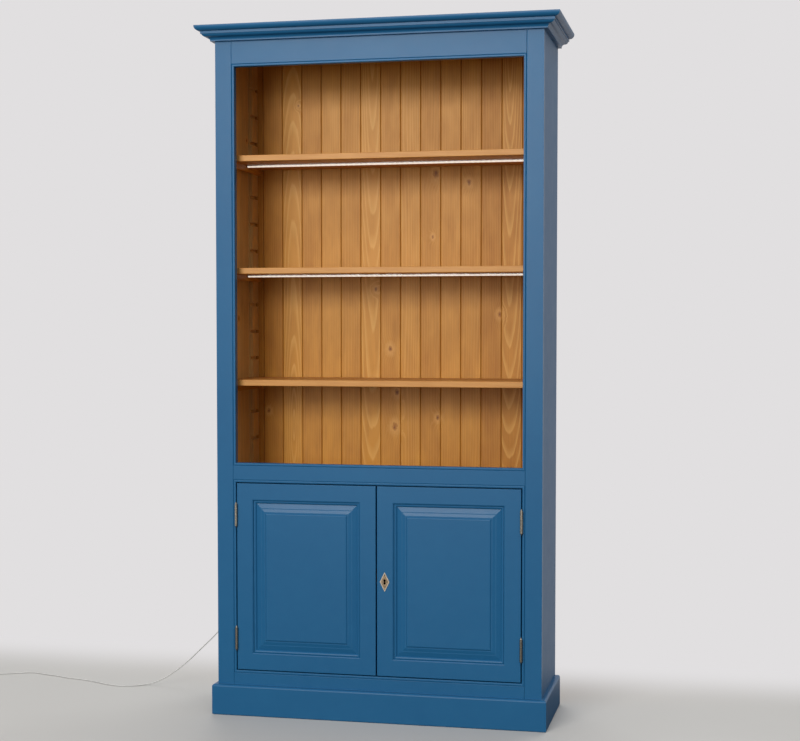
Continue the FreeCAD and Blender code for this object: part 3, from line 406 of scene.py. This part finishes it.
def shade_knots(tree, tint, near):
    """Lays the knots over the wood."""
    at = add(tree, "ShaderNodeMath", {0: near, 1: KNOT_RAMP_SHARE}, operation="MULTIPLY").outputs[0]
    eye = add(tree, "ShaderNodeValToRGB", {"Fac": at},
              stops=[(position, colour(code)[:3] + (cover,)) for position, code, cover in KNOT_STOPS])
    return add(tree, "ShaderNodeMix", {0: eye.outputs["Alpha"], 6: tint, 7: eye.outputs["Color"]},
               data_type="RGBA").outputs[2]


def waxed_pine(tree, along, across, width, start, face, heart=0.0, joint=None, figures=None, knots=(),
               stain=HONEY_STAIN, seed=0.0):
    """Pine stained honey brown and waxed: the soft early wood takes the stain and the hard late
    wood stays pale, so its rings show as light flames and lines. Knots are dark with a pale eddy."""
    place = add(tree, "ShaderNodeTexCoord").outputs["Object"]
    axes = add(tree, "ShaderNodeSeparateXYZ", {0: place}).outputs
    depth = X + Y + Z - along - across
    middle, local = board_and_place(tree, axes[across], start, width)
    figure, tone = board_figure(tree, middle, figures, seed)
    deep = heart_depth(tree, middle, axes[along], figure, heart, seed)
    radius = heart_distance(tree, local, axes[depth], figure, face, deep)
    if knots:
        near = knot_distance(tree, place, axes[across], axes[along], knots)
        radius = bend_round_knots(tree, radius, near)
    share = add(tree, "ShaderNodeMath", {0: ring_lines(tree, place, along, radius),
                                         1: ring_clarity(tree, figure)}, operation="MULTIPLY").outputs[0]
    mixed, ground, fibres = stained_wood(tree, place, along, tone, stain)
    tint = add(tree, "ShaderNodeMix", {0: share, 6: ground, 7: colour(LATE_WOOD)},
               data_type="RGBA").outputs[2]
    if joint:
        tint = darken_joints(tree, tint, local, width / 2 - joint)
    if knots:
        tint = shade_knots(tree, tint, near)
    gloss = add(tree, "ShaderNodeMapRange", {
        "Value": mixed, "From Min": 0.3, "From Max": 0.7, "To Min": 0.50, "To Max": 0.40}).outputs[0]
    relief = add(tree, "ShaderNodeMath", {0: fibres, 1: share}, operation="ADD").outputs[0]
    return tint, gloss, relief


def waxed(name, **pattern):
    """Waxed pine on a whole piece."""
    material, tree, shader = new_finish(name, {"Specular IOR Level": 0.28})
    join(tree, shader, *waxed_pine(tree, **pattern), depth=GRAIN_RELIEF)
    return material


CROWN_LEVEL = 2.1495


def painted_outside(name, grain, axis, limit, **pattern):
    """Waxed pine inside, and paint where the place along the axis is past the limit, on either side."""
    material, tree, shader = new_finish(name, {"Specular IOR Level": 0.22})
    blue = satin_paint(tree, grain, matt=0.48)
    pine = waxed_pine(tree, **pattern)
    place = add(tree, "ShaderNodeTexCoord").outputs["Object"]
    axes = add(tree, "ShaderNodeSeparateXYZ", {0: place}).outputs
    part = add(tree, "ShaderNodeMath", {0: axes[axis]}, operation="ABSOLUTE").outputs[0]
    outside = add(tree, "ShaderNodeMath", {0: part, 1: limit}, operation="GREATER_THAN").outputs[0]
    # Everything that ends in the top of the case is painted there
    crown = add(tree, "ShaderNodeMath", {0: axes[Z], 1: CROWN_LEVEL}, operation="GREATER_THAN").outputs[0]
    outside = add(tree, "ShaderNodeMath", {0: outside, 1: crown}, operation="MAXIMUM").outputs[0]
    tint = add(tree, "ShaderNodeMix", {0: outside, 6: pine[0], 7: blue[0]}, data_type="RGBA").outputs[2]
    gloss = add(tree, "ShaderNodeMix", {0: outside, 2: pine[1], 3: blue[1]}).outputs[0]
    relief = add(tree, "ShaderNodeMix", {0: outside, 2: pine[2], 3: blue[2]}).outputs[0]
    join(tree, shader, tint, gloss, relief, depth=GRAIN_RELIEF)
    return material


# Pith offset, pith depth, drift and tone of the back boards, from the left
BOARD_FIGURES = [
    (0.90, 0.5, 0.45, 0.35), (0.05, 0.4, 0.55, 0.40), (0.52, 0.2, 0.88, 0.90), (0.10, 0.6, 0.45, 0.45),
    (0.92, 0.4, 0.50, 0.75), (0.15, 0.8, 0.47, 0.55), (0.54, 0.4, 0.20, 0.90), (0.95, 0.5, 0.55, 0.60),
    (0.25, 0.3, 0.50, 0.75), (0.88, 0.7, 0.50, 0.50), (0.08, 0.5, 0.45, 0.65), (0.85, 0.6, 0.53, 0.55),
    (0.12, 0.6, 0.50, 0.25), (0.46, 0.3, 0.15, 0.40), (0.90, 0.4, 0.50, 0.50), (0.10, 0.5, 0.45, 0.50),
]
BACK_KNOTS = [
    (0.120, 1.718, 0.011), (0.229, 1.688, 0.008), (0.110, 1.514, 0.005), (-0.342, 1.950, 0.004),
    (-0.031, 1.150, 0.009), (-0.080, 1.346, 0.006), (-0.009, 1.009, 0.009), (-0.016, 0.896, 0.011),
    (0.127, 0.926, 0.007), (-0.447, 0.943, 0.007), (0.330, 1.262, 0.008),
]
SHELF_KNOTS = [(-0.076, -0.280, 0.006), (0.0, 0.22, 0.010), (0.10, -0.05, 0.008), (0.15, 0.36, 0.009)]
SIDE_KNOTS = [(0.02, 1.25, 0.009), (0.11, 1.83, 0.007), (-0.03, 0.97, 0.006)]
BACK_BOARD_PITCH = 0.0666
BOARDS_FRONT = -0.126

pine_back = waxed("waxed_pine_back_boards", along=Z, across=X, width=BACK_BOARD_PITCH, start=-0.5298,
                  face=0.188, heart=1.5, joint=0.0022, figures=BOARD_FIGURES, knots=BACK_KNOTS)
# The battens take the paler copy of the stain, painted light for their shade
pine_upright = waxed("waxed_pine_battens", along=Z, across=Y, width=0.062, start=BOARDS_FRONT, face=0.482,
                     seed=5.0, stain=SHADE_LIFTED_STAIN)
pine_shelf = waxed("waxed_pine_shelves", along=X, across=Y, width=0.078, start=-0.100, face=1.0365,
                   seed=11.0, stain=BROWNER_STAIN, knots=SHELF_KNOTS)
pine_board = waxed("waxed_pine_fixed_boards", along=X, across=Y, width=0.082, start=BOARDS_FRONT,
                   face=0.765, seed=23.0)
pine_cleat = waxed("waxed_pine_cleats", along=Y, across=Z, width=0.3, start=0.0, face=0.468, seed=31.0)
pine_roof = painted_outside("waxed_pine_roof_painted_on_top", grain=X, axis=Z, limit=CROWN_LEVEL,
                            along=X, across=Y, width=0.082, start=BOARDS_FRONT, face=2.132, seed=37.0)
pine_stop = painted_outside("waxed_pine_stop_painted_in_front", grain=X, axis=Y, limit=0.1250,
                            along=X, across=Y, width=0.082, start=BOARDS_FRONT, face=0.727, seed=29.0)
# The side walls take the paler copy of the stain inside, painted light for their shade
pine_side = painted_outside("waxed_pine_side_painted_outside", grain=Z, axis=X, limit=0.5045,
                            along=Z, across=Y, width=0.081, start=BOARDS_FRONT, face=0.495, heart=1.2,
                            seed=41.0, stain=SHADE_LIFTED_STAIN, knots=SIDE_KNOTS)

paint_upright = painted("satin_acrylic_paint_brushed_upright", Z)
paint_across = painted("satin_acrylic_paint_brushed_across", X)
paint_rearward = painted("satin_acrylic_paint_brushed_rearward", Y)
door_upright = painted("satin_acrylic_paint_of_doors_upright", Z, **DOOR_PAINT)
door_across = painted("satin_acrylic_paint_of_doors_across", X, **DOOR_PAINT)


# ---------------------------------------------------------------- metals and keyhole

def speckled_metal(name, dark, light, rough, grit):
    """A metal with its tarnish in patches of the given grit."""
    material, tree, shader = new_finish(name, {"Metallic": 1.0})
    place = add(tree, "ShaderNodeTexCoord").outputs["Object"]
    patches = add(tree, "ShaderNodeTexNoise",
                  {"Vector": place, "Scale": 1 / grit, "Detail": 5.0}).outputs["Fac"]
    tint = add(tree, "ShaderNodeValToRGB", {"Fac": patches},
               stops=[(0.35, colour(dark)), (0.65, colour(light))])
    gloss = add(tree, "ShaderNodeMapRange", {
        "Value": patches, "From Min": 0.3, "From Max": 0.7, "To Min": rough + 0.12, "To Max": rough - 0.06})
    join(tree, shader, tint.outputs["Color"], gloss.outputs[0], patches, depth=METAL_RELIEF)
    return material


def darken_inside(material, box, code):
    """A cut that no light reaches: the finish turns near black inside this box."""
    tree = material.node_tree
    low, high = box
    middle = [(a + b) / 2 for a, b in zip(low, high)]
    per_half = [2 / (b - a) for a, b in zip(low, high)]
    place = add(tree, "ShaderNodeTexCoord").outputs["Object"]
    moved = add(tree, "ShaderNodeVectorMath", {0: place, 1: middle}, operation="SUBTRACT").outputs[0]
    moved = add(tree, "ShaderNodeVectorMath", {0: moved, 1: per_half}, operation="MULTIPLY").outputs[0]
    moved = add(tree, "ShaderNodeVectorMath", {0: moved}, operation="ABSOLUTE").outputs[0]
    axes = add(tree, "ShaderNodeSeparateXYZ", {0: moved}).outputs
    most = add(tree, "ShaderNodeMath", {0: axes[X], 1: axes[Y]}, operation="MAXIMUM").outputs[0]
    most = add(tree, "ShaderNodeMath", {0: most, 1: axes[Z]}, operation="MAXIMUM").outputs[0]
    inside = add(tree, "ShaderNodeMath", {0: most, 1: 1.0}, operation="LESS_THAN").outputs[0]
    lay_over(material, inside, code)


ESCUTCHEON_MIDDLE = (0.0265, -0.1480, 0.4375)
ESCUTCHEON_HALF_WIDTH = 0.015
ESCUTCHEON_HALF_HEIGHT = 0.0305


def bright_rim(material, code):
    """The lozenge of the escutcheon is rubbed bright along its bevelled rim."""
    tree = material.node_tree
    place = add(tree, "ShaderNodeTexCoord").outputs["Object"]
    moved = add(tree, "ShaderNodeVectorMath", {0: place, 1: ESCUTCHEON_MIDDLE},
                operation="SUBTRACT").outputs[0]
    moved = add(tree, "ShaderNodeVectorMath", {0: moved}, operation="ABSOLUTE").outputs[0]
    reach = (1 / ESCUTCHEON_HALF_WIDTH, 0.0, 1 / ESCUTCHEON_HALF_HEIGHT)
    share = add(tree, "ShaderNodeVectorMath", {0: moved, 1: reach},
                operation="DOT_PRODUCT").outputs["Value"]
    rim = add(tree, "ShaderNodeMapRange", {
        "Value": share, "From Min": 0.74, "From Max": 0.94, "To Max": 0.8})
    lay_over(material, rim.outputs[0], code)


ZINC = {"dark": "#9a9ea1", "light": "#c3c7c8", "rough": 0.34, "grit": 0.006}
antique_brass = speckled_metal("antique_brass_rubbed", "#7c6c58", "#a69480", rough=0.36, grit=0.004)
aged_steel = speckled_metal("brass_plated_steel_worn_grey", "#7b766c", "#a29b8d", rough=0.28, grit=0.004)
# Near black for the head of the escutcheon's top pin: painted shade where a dark pin hole shows
hole_shade_pin = speckled_metal("near_black_pin_painted_as_hole_shade", "#1c1916", "#3a342d", rough=0.40, grit=0.002)
zinc_steel = speckled_metal("zinc_plated_steel", **ZINC)
aluminium = speckled_metal("anodised_aluminium_extruded", "#8f9193", "#b9bbbc", rough=0.34, grit=0.010)

# The keyhole: its walls in the right-hand door, the inside of the lock behind it, and the plate, each
# painted near black inside as shade
KEYHOLE_SHADE = "#1a120b"
LOCK_SHADE = "#0c0b0a"
KEYHOLE_IN_DOOR = ((0.0220, -0.1479, 0.4280), (0.0310, -0.1300, 0.4470))
KEYHOLE_IN_LOCK = ((0.0055, -0.1423, 0.4145), (0.0405, -0.1315, 0.4695))
KEYHOLE_IN_PLATE = ((0.0225, -0.1494, 0.4290), (0.0305, -0.1470, 0.4460))
keyhole_wall = painted("satin_acrylic_paint_round_keyhole", Z, **DOOR_PAINT)
darken_inside(keyhole_wall, KEYHOLE_IN_DOOR, KEYHOLE_SHADE)
lock_steel = speckled_metal("zinc_plated_steel_of_lock", **ZINC)
darken_inside(lock_steel, KEYHOLE_IN_LOCK, LOCK_SHADE)
escutcheon_brass = speckled_metal("antique_brass_rubbed_along_rim", "#6f604c", "#998670", rough=0.36,
                                  grit=0.004)
bright_rim(escutcheon_brass, "#c4b8a6")
darken_inside(escutcheon_brass, KEYHOLE_IN_PLATE, KEYHOLE_SHADE)


# ---------------------------------------------------------------- plastics

DIODE_PITCH = 0.0166
# The plug's pins start above this level, where its body ends
PINS_LEVEL = 0.0291


def milky_diffuser():
    """Extruded opal acrylic over a row of warm white diodes, which show as faint beads."""
    material, tree, shader = new_finish("opal_acrylic_diffuser_lit",
                                        {"Emission Strength": 0.75, "Roughness": 0.5})
    place = add(tree, "ShaderNodeTexCoord").outputs["Object"]
    part = add(tree, "ShaderNodeSeparateXYZ", {0: place}).outputs[X]
    turned = add(tree, "ShaderNodeMath", {0: part, 1: 2 * math.pi / DIODE_PITCH},
                 operation="MULTIPLY").outputs[0]
    beads = add(tree, "ShaderNodeMath", {0: turned}, operation="SINE").outputs[0]
    lit = add(tree, "ShaderNodeMapRange", {"Value": beads, "From Min": -1.0, "From Max": 1.0}).outputs[0]
    tint = add(tree, "ShaderNodeMix", {0: lit, 6: colour("#efe2d2"), 7: colour("#fff6ea")},
               data_type="RGBA").outputs[2]
    tree.links.new(tint, shader.inputs["Base Color"])
    tree.links.new(tint, shader.inputs["Emission Color"])
    return material


def moulded_plastic(name, dark, light, rough, grain):
    """A pale moulded plastic with a fine spark-eroded grain and the faintest yellowing."""
    material, tree, shader = new_finish(name)
    place = add(tree, "ShaderNodeTexCoord").outputs["Object"]
    cast = add(tree, "ShaderNodeTexNoise", {"Vector": place, "Scale": 40.0, "Detail": 3.0}).outputs["Fac"]
    grit = add(tree, "ShaderNodeTexNoise",
               {"Vector": place, "Scale": 1 / grain, "Detail": 1.0}).outputs["Fac"]
    tint = add(tree, "ShaderNodeMix", {0: cast, 6: colour(dark), 7: colour(light)},
               data_type="RGBA").outputs[2]
    gloss = add(tree, "ShaderNodeMapRange", {
        "Value": cast, "From Min": 0.3, "From Max": 0.7, "To Min": rough - 0.05, "To Max": rough + 0.05})
    join(tree, shader, tint, gloss.outputs[0], grit, depth=PLASTIC_RELIEF)
    return material


def plug_plastic():
    """White polycarbonate plug with two bright nickel pins."""
    material = moulded_plastic("white_polycarbonate_and_nickel_pins", "#dcdcd8", "#e9e9e6", rough=0.42,
                               grain=0.0008)
    tree = material.node_tree
    place = add(tree, "ShaderNodeTexCoord").outputs["Object"]
    height = add(tree, "ShaderNodeSeparateXYZ", {0: place}).outputs[Z]
    pins = add(tree, "ShaderNodeMath", {0: height, 1: PINS_LEVEL}, operation="GREATER_THAN").outputs[0]
    lay_over(material, pins, "#c9c6bf")
    tree.links.new(pins, tree.nodes["Principled BSDF"].inputs["Metallic"])
    return material


diffuser = milky_diffuser()
soft_vinyl = moulded_plastic("soft_vinyl_sheath", "#cfd0cf", "#dededc", rough=0.48, grain=0.0010)
plug_finish = plug_plastic()


# ---------------------------------------------------------------- dressing

NODES_BY_FINISH = [
    (paint_across, ["top_rail", "mid_rail", "bottom_rail", "upper_bead", "door_bead", "cornice_front",
                    "plinth_front"]),
    (paint_rearward, ["cornice_left", "cornice_right", "plinth_left", "plinth_right"]),
    (door_across, ["left_top_rail", "left_bottom_rail", "right_top_rail", "right_bottom_rail"]),
    (door_upright, ["left_hinge_stile", "left_meeting_stile", "left_panel", "right_hinge_stile",
                    "right_panel"]),
    (keyhole_wall, ["right_meeting_stile"]),
    (pine_back, ["back_boards_1", "back_boards_2", "back_boards_3", "back_boards_4"]),
    (pine_side, ["side_left", "side_right"]),
    (pine_roof, ["top_board"]),
    (pine_board, ["mid_board", "base_board"]),
    (pine_stop, ["door_stop"]),
    (pine_shelf, ["shelf_upper", "shelf_middle", "shelf_lower", "cabinet_shelf"]),
    (pine_cleat, ["shelf_cleats_left", "shelf_cleats_right", "cabinet_cleats"]),
    (aged_steel, ["hinge_frame_leaves", "hinge_pins", "left_hinge_leaves", "right_hinge_leaves"]),
    (lock_steel, ["lock_case"]),
    (escutcheon_brass, ["escutcheon"]),
]
NODE_FINISH = {name: finish for finish, names in NODES_BY_FINISH for name in names}
SLOT_FINISH = {
    "blue_paint": paint_upright, "waxed_pine": pine_upright, "antique_brass": antique_brass,
    "zinc_plated_steel": zinc_steel, "anodised_aluminium": aluminium, "lit_diffuser": diffuser,
    "pale_rubber": soft_vinyl, "white_plastic": plug_finish,
}


def dress(piece, material):
    """Leaves this material as the piece's only one."""
    piece.data.materials.clear()
    piece.data.materials.append(material)


for part in frame["record"]["subparts"]:
    dress(frame["nodes"][part["node"]], NODE_FINISH.get(part["node"], SLOT_FINISH[part["material_slot"]]))

lead = make_lead()
dress(lead, soft_vinyl)
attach(lead, "case")
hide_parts("cord_lead", "cord_coil")


# ---------------------------------------------------------------- small pieces

def pick(piece, test):
    """In edit mode, selects only the faces whose middle and normal pass the test."""
    bpy.ops.mesh.select_mode(type="FACE")
    bpy.ops.mesh.select_all(action="DESELECT")
    mesh = bmesh.from_edit_mesh(piece.data)
    for face in mesh.faces:
        if test(face.calc_center_median(), face.normal):
            face.select_set(True)
    bmesh.update_edit_mesh(piece.data)


def looks_up(middle, normal):
    """Test for the faces on top."""
    return normal.z > 0.9


def blank(vertices, radius, depth, level):
    """Short upright cylinder with its middle at the level, open for editing, its top selected."""
    bpy.ops.mesh.primitive_cylinder_add(vertices=vertices, radius=radius, depth=depth,
                                        location=(0, 0, level))
    made = bpy.context.object
    bpy.ops.object.transform_apply(location=True, rotation=True, scale=True)
    bpy.ops.object.mode_set(mode="EDIT")
    pick(made, looks_up)
    return made


def slotted_screw():
    """Head of a countersunk slotted screw 6 mm across, seated at the origin and looking up."""
    screw = blank(vertices=20, radius=0.003, depth=0.0012, level=-0.0004)
    bpy.ops.mesh.inset(thickness=0.0003, depth=0.0001)
    for side in (-1, 1):
        bpy.ops.mesh.select_all(action="SELECT")
        bpy.ops.mesh.bisect(plane_co=(0, side * 0.0004, 0), plane_no=(0, 1, 0))
    pick(screw, lambda middle, normal: normal.z > 0.9 and abs(middle.y) < 0.0003 and abs(middle.x) < 0.0025)
    # Sunk by an inset, since an extrusion's faces come in another order at each run
    bpy.ops.mesh.inset(thickness=0, depth=-0.0008)
    bpy.ops.object.mode_set(mode="OBJECT")
    return screw


def round_headed_pin():
    """Domed head of a pin 3.8 mm across, its middle at the origin, looking up."""
    pin = blank(vertices=16, radius=0.0019, depth=0.0016, level=0)
    bpy.ops.mesh.bevel(offset=0.0006, segments=3, affect="EDGES")
    bpy.ops.object.mode_set(mode="OBJECT")
    return pin


def nail_head():
    """Flat head of a wire nail 5 mm across with a soft rim, seated at the origin and looking up."""
    nail = blank(vertices=12, radius=0.0025, depth=0.0010, level=-0.0002)
    bpy.ops.mesh.inset(thickness=0.0004, depth=0.0002)
    bpy.ops.object.mode_set(mode="OBJECT")
    return nail


def end_cap():
    """Moulded end cap of a light channel, its lower edges rounded."""
    bpy.ops.mesh.primitive_cube_add(size=1, location=(0, 0, 0))
    cap = bpy.context.object
    bpy.ops.object.mode_set(mode="EDIT")
    bpy.ops.transform.resize(value=(0.0016, 0.0124, 0.0068))
    pick(cap, lambda middle, normal: normal.z < -0.9)
    bpy.ops.mesh.bevel(offset=0.0012, segments=3, affect="EDGES")
    bpy.ops.object.mode_set(mode="OBJECT")
    return cap


def set_out(model, name, spots, turn, material, body, twist=1.9):
    """Copies the model to each spot, turned to face outwards and each twisted on its own axis, as one
    piece that rides on the body."""
    copies = []
    for number, spot in enumerate(spots):
        copy = bpy.data.objects.new(f"{name}_{number}", model.data.copy())
        bpy.context.scene.collection.objects.link(copy)
        copy.data.transform(Matrix.Translation(spot) @ turn @ Matrix.Rotation(twist * number, 4, "Z"))
        copies.append(copy)
    bpy.ops.object.select_all(action="DESELECT")
    for copy in copies:
        copy.select_set(True)
    bpy.context.view_layer.objects.active = copies[0]
    if len(copies) > 1:
        bpy.ops.object.join()
    piece = bpy.context.view_layer.objects.active
    piece.name = name
    bpy.ops.object.shade_smooth_by_angle(angle=math.radians(35))
    dress(piece, material)
    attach(piece, body)


TO_FRONT = Matrix.Rotation(math.radians(90), 4, "X")
TO_BACK = Matrix.Rotation(math.radians(-90), 4, "X")
TO_RIGHT = Matrix.Rotation(math.radians(90), 4, "Y")
TO_LEFT = Matrix.Rotation(math.radians(-90), 4, "Y")
NO_TURN = Matrix.Identity(4)

# Two screws in each leaf: the frame's half is below the hinge's split and the door's half above it
SPLIT_LEVELS = (0.2435, 0.6335)
SCREWS_FROM_SPLIT = (0.010, 0.027)
FRAME_SCREWS = [level - rise for level in SPLIT_LEVELS for rise in SCREWS_FROM_SPLIT]
DOOR_SCREWS = [level + rise for level in SPLIT_LEVELS for rise in SCREWS_FROM_SPLIT]
LEAF_MIDDLE = -0.138
FRAME_EDGE = 0.4500
DOOR_EDGE = 0.4510
LOCK_SCREWS = [(0.0020, -0.136, 0.4135), (0.0020, -0.136, 0.4705)]
STRIKE_SCREWS = [(-0.0020, -0.136, 0.4405), (-0.0020, -0.136, 0.4705)]
GUIDE_SCREWS = [(x, -0.1245, z) for x in (-0.0335, -0.0205) for z in (0.684, 0.700)]

screw = slotted_screw()
for name, x, levels, turn, body in (
    ("hinge_screws_of_frame_left", -FRAME_EDGE, FRAME_SCREWS, TO_RIGHT, "case"),
    ("hinge_screws_of_frame_right", FRAME_EDGE, FRAME_SCREWS, TO_LEFT, "case"),
    ("hinge_screws_of_left_door", -DOOR_EDGE, DOOR_SCREWS, TO_LEFT, "left_door"),
    ("hinge_screws_of_right_door", DOOR_EDGE, DOOR_SCREWS, TO_RIGHT, "right_door"),
):
    set_out(screw, name, [(x, LEAF_MIDDLE, z) for z in levels], turn, aged_steel, body)
set_out(screw, "lock_screws", LOCK_SCREWS, TO_LEFT, zinc_steel, "right_door")
set_out(screw, "strike_screws", STRIKE_SCREWS, TO_RIGHT, antique_brass, "left_door")
set_out(screw, "bolt_guide_screws", GUIDE_SCREWS, TO_BACK, antique_brass, "left_door")
bpy.data.objects.remove(screw)

PIN_TOP = (0.0265, -0.1495, 0.4587)
PIN_FOOT = (0.0265, -0.1495, 0.4163)
pin = round_headed_pin()
# The top pin's head is near black, painted shade of a pin hole; the foot pin is brass
set_out(pin, "escutcheon_pin_top", [PIN_TOP], TO_FRONT, hole_shade_pin, "right_door")
set_out(pin, "escutcheon_pin_foot", [PIN_FOOT], TO_FRONT, antique_brass, "right_door")
bpy.data.objects.remove(pin)

# Nails at the base, middle and top boards: a pair in each back board, and one in the two narrow
# ones at the ends
NAIL_LEVELS = (0.1325, 0.756, 2.141)
FIRST_PAIR = -0.4299
HALF_PAIR = 0.018
PAIRS = [FIRST_PAIR + BACK_BOARD_PITCH * k + side for k in range(14) for side in (-HALF_PAIR, HALF_PAIR)]
NAILS = [(x, 0.2000, z) for x in [-0.484] + PAIRS + [0.487] for z in NAIL_LEVELS]
nail = nail_head()
set_out(nail, "back_board_nails", NAILS, TO_BACK, zinc_steel, "case")
bpy.data.objects.remove(nail)

END_CAPS = [(side * 0.4648, 0.027, z) for side in (-1, 1) for z in (1.3851, 1.7371)]
cap = end_cap()
set_out(cap, "light_end_caps", END_CAPS, NO_TURN, aluminium, "case", twist=0.0)
bpy.data.objects.remove(cap)


# ---------------------------------------------------------------- floor and light

BACKDROP = "#e1dfe0"
FLOOR_TONES = ("#d0cecb", "#d7d6d3")
FLOOR_UNSEEN = "#62605d"


def seen_by(tree, *kinds):
    """1 for rays of these kinds and 0 for all others."""
    looks = add(tree, "ShaderNodeLightPath").outputs
    seen = looks[kinds[0]]
    for kind in kinds[1:]:
        seen = add(tree, "ShaderNodeMath", {0: seen, 1: looks[kind]}, operation="MAXIMUM").outputs[0]
    return seen


def make_world():
    """Pale air that lights the case, with the plain backdrop for all that looks at it."""
    world = bpy.data.worlds.new("studio_air")
    world.use_nodes = True
    tree = world.node_tree
    tree.nodes.clear()
    air = add(tree, "ShaderNodeBackground", {"Color": colour("#f3f4f6"), "Strength": 0.38}).outputs[0]
    plain = add(tree, "ShaderNodeBackground", {"Color": colour(BACKDROP), "Strength": 1.0}).outputs[0]
    seen = seen_by(tree, "Is Camera Ray", "Is Glossy Ray", "Is Transmission Ray")
    both = add(tree, "ShaderNodeMixShader", {0: seen, 1: air, 2: plain}).outputs[0]
    add(tree, "ShaderNodeOutputWorld", {"Surface": both})
    bpy.context.scene.world = world


def make_floor():
    """Pale floor that turns into the backdrop's tone behind the case and a few metres away."""
    bpy.ops.mesh.primitive_plane_add(size=120, location=(0, 0, 0))
    floor = bpy.context.object
    floor.name = "studio_floor"
    material, tree, shader = new_finish("pale_floor", {"Roughness": 0.6, "Specular IOR Level": 0.12})
    place = add(tree, "ShaderNodeTexCoord").outputs["Object"]
    patches = add(tree, "ShaderNodeTexNoise", {"Vector": place, "Scale": 1.4, "Detail": 4.0}).outputs["Fac"]
    tint = add(tree, "ShaderNodeMix", {0: patches, 6: colour(FLOOR_TONES[0]), 7: colour(FLOOR_TONES[1])},
               data_type="RGBA").outputs[2]
    # A darker floor for the light that bounces up from it
    tint = add(tree, "ShaderNodeMix", {0: seen_by(tree, "Is Camera Ray"), 6: colour(FLOOR_UNSEEN), 7: tint},
               data_type="RGBA").outputs[2]
    tree.links.new(tint, shader.inputs["Base Color"])
    reach = add(tree, "ShaderNodeVectorMath", {0: place}, operation="LENGTH").outputs["Value"]
    far = add(tree, "ShaderNodeMapRange", {"Value": reach, "From Min": 2.2, "From Max": 6.0},
              interpolation_type="SMOOTHERSTEP").outputs[0]
    rear = add(tree, "ShaderNodeSeparateXYZ", {0: place}).outputs[Y]
    rear = add(tree, "ShaderNodeMapRange", {"Value": rear, "From Min": 0.22, "From Max": 0.85},
               interpolation_type="SMOOTHERSTEP").outputs[0]
    fade = add(tree, "ShaderNodeMath", {0: far, 1: rear}, operation="MAXIMUM").outputs[0]
    fade = add(tree, "ShaderNodeMath", {0: seen_by(tree, "Is Camera Ray", "Is Glossy Ray"), 1: fade},
               operation="MULTIPLY").outputs[0]
    plain = add(tree, "ShaderNodeEmission", {"Color": colour(BACKDROP), "Strength": 1.0}).outputs[0]
    blend = add(tree, "ShaderNodeMixShader", {0: fade, 1: shader.outputs[0], 2: plain}).outputs[0]
    tree.links.new(blend, tree.nodes["Material Output"].inputs["Surface"])
    dress(floor, material)


def soft_box(name, place, target, size, power, code):
    """A lamp with a large rectangular face that looks at the target."""
    bpy.ops.object.light_add(type="AREA", location=place)
    lamp = bpy.context.object
    lamp.name = name
    lamp.data.shape = "RECTANGLE"
    lamp.data.size, lamp.data.size_y = size
    lamp.data.energy = power
    lamp.data.color = colour(code)[:3]
    lamp.rotation_euler = (Vector(target) - Vector(place)).to_track_quat("-Z", "Y").to_euler()


make_world()
make_floor()
soft_box("key_high_in_front", (-1.36, -7.0, 3.25), (0, 0, 1.2), size=(3.4, 1.7), power=250, code="#fffaf2")
soft_box("fill_level_in_front", (-1.2, -7.0, 1.55), (0, 0, 1.1), size=(2.2, 1.6), power=84, code="#fffdf8")
soft_box("rear_high", (0.2, 2.8, 4.6), (0, 0.2, 0.4), size=(4.4, 1.6), power=90, code="#ffffff")
soft_box("overhead", (0.3, -2.6, 4.3), (0, -0.1, 0.9), size=(3.0, 2.0), power=24, code="#ffffff")

bpy.context.scene.view_settings.view_transform = "Standard"


# ---------------------------------------------------------------- finish

bpy.context.view_layer.update()
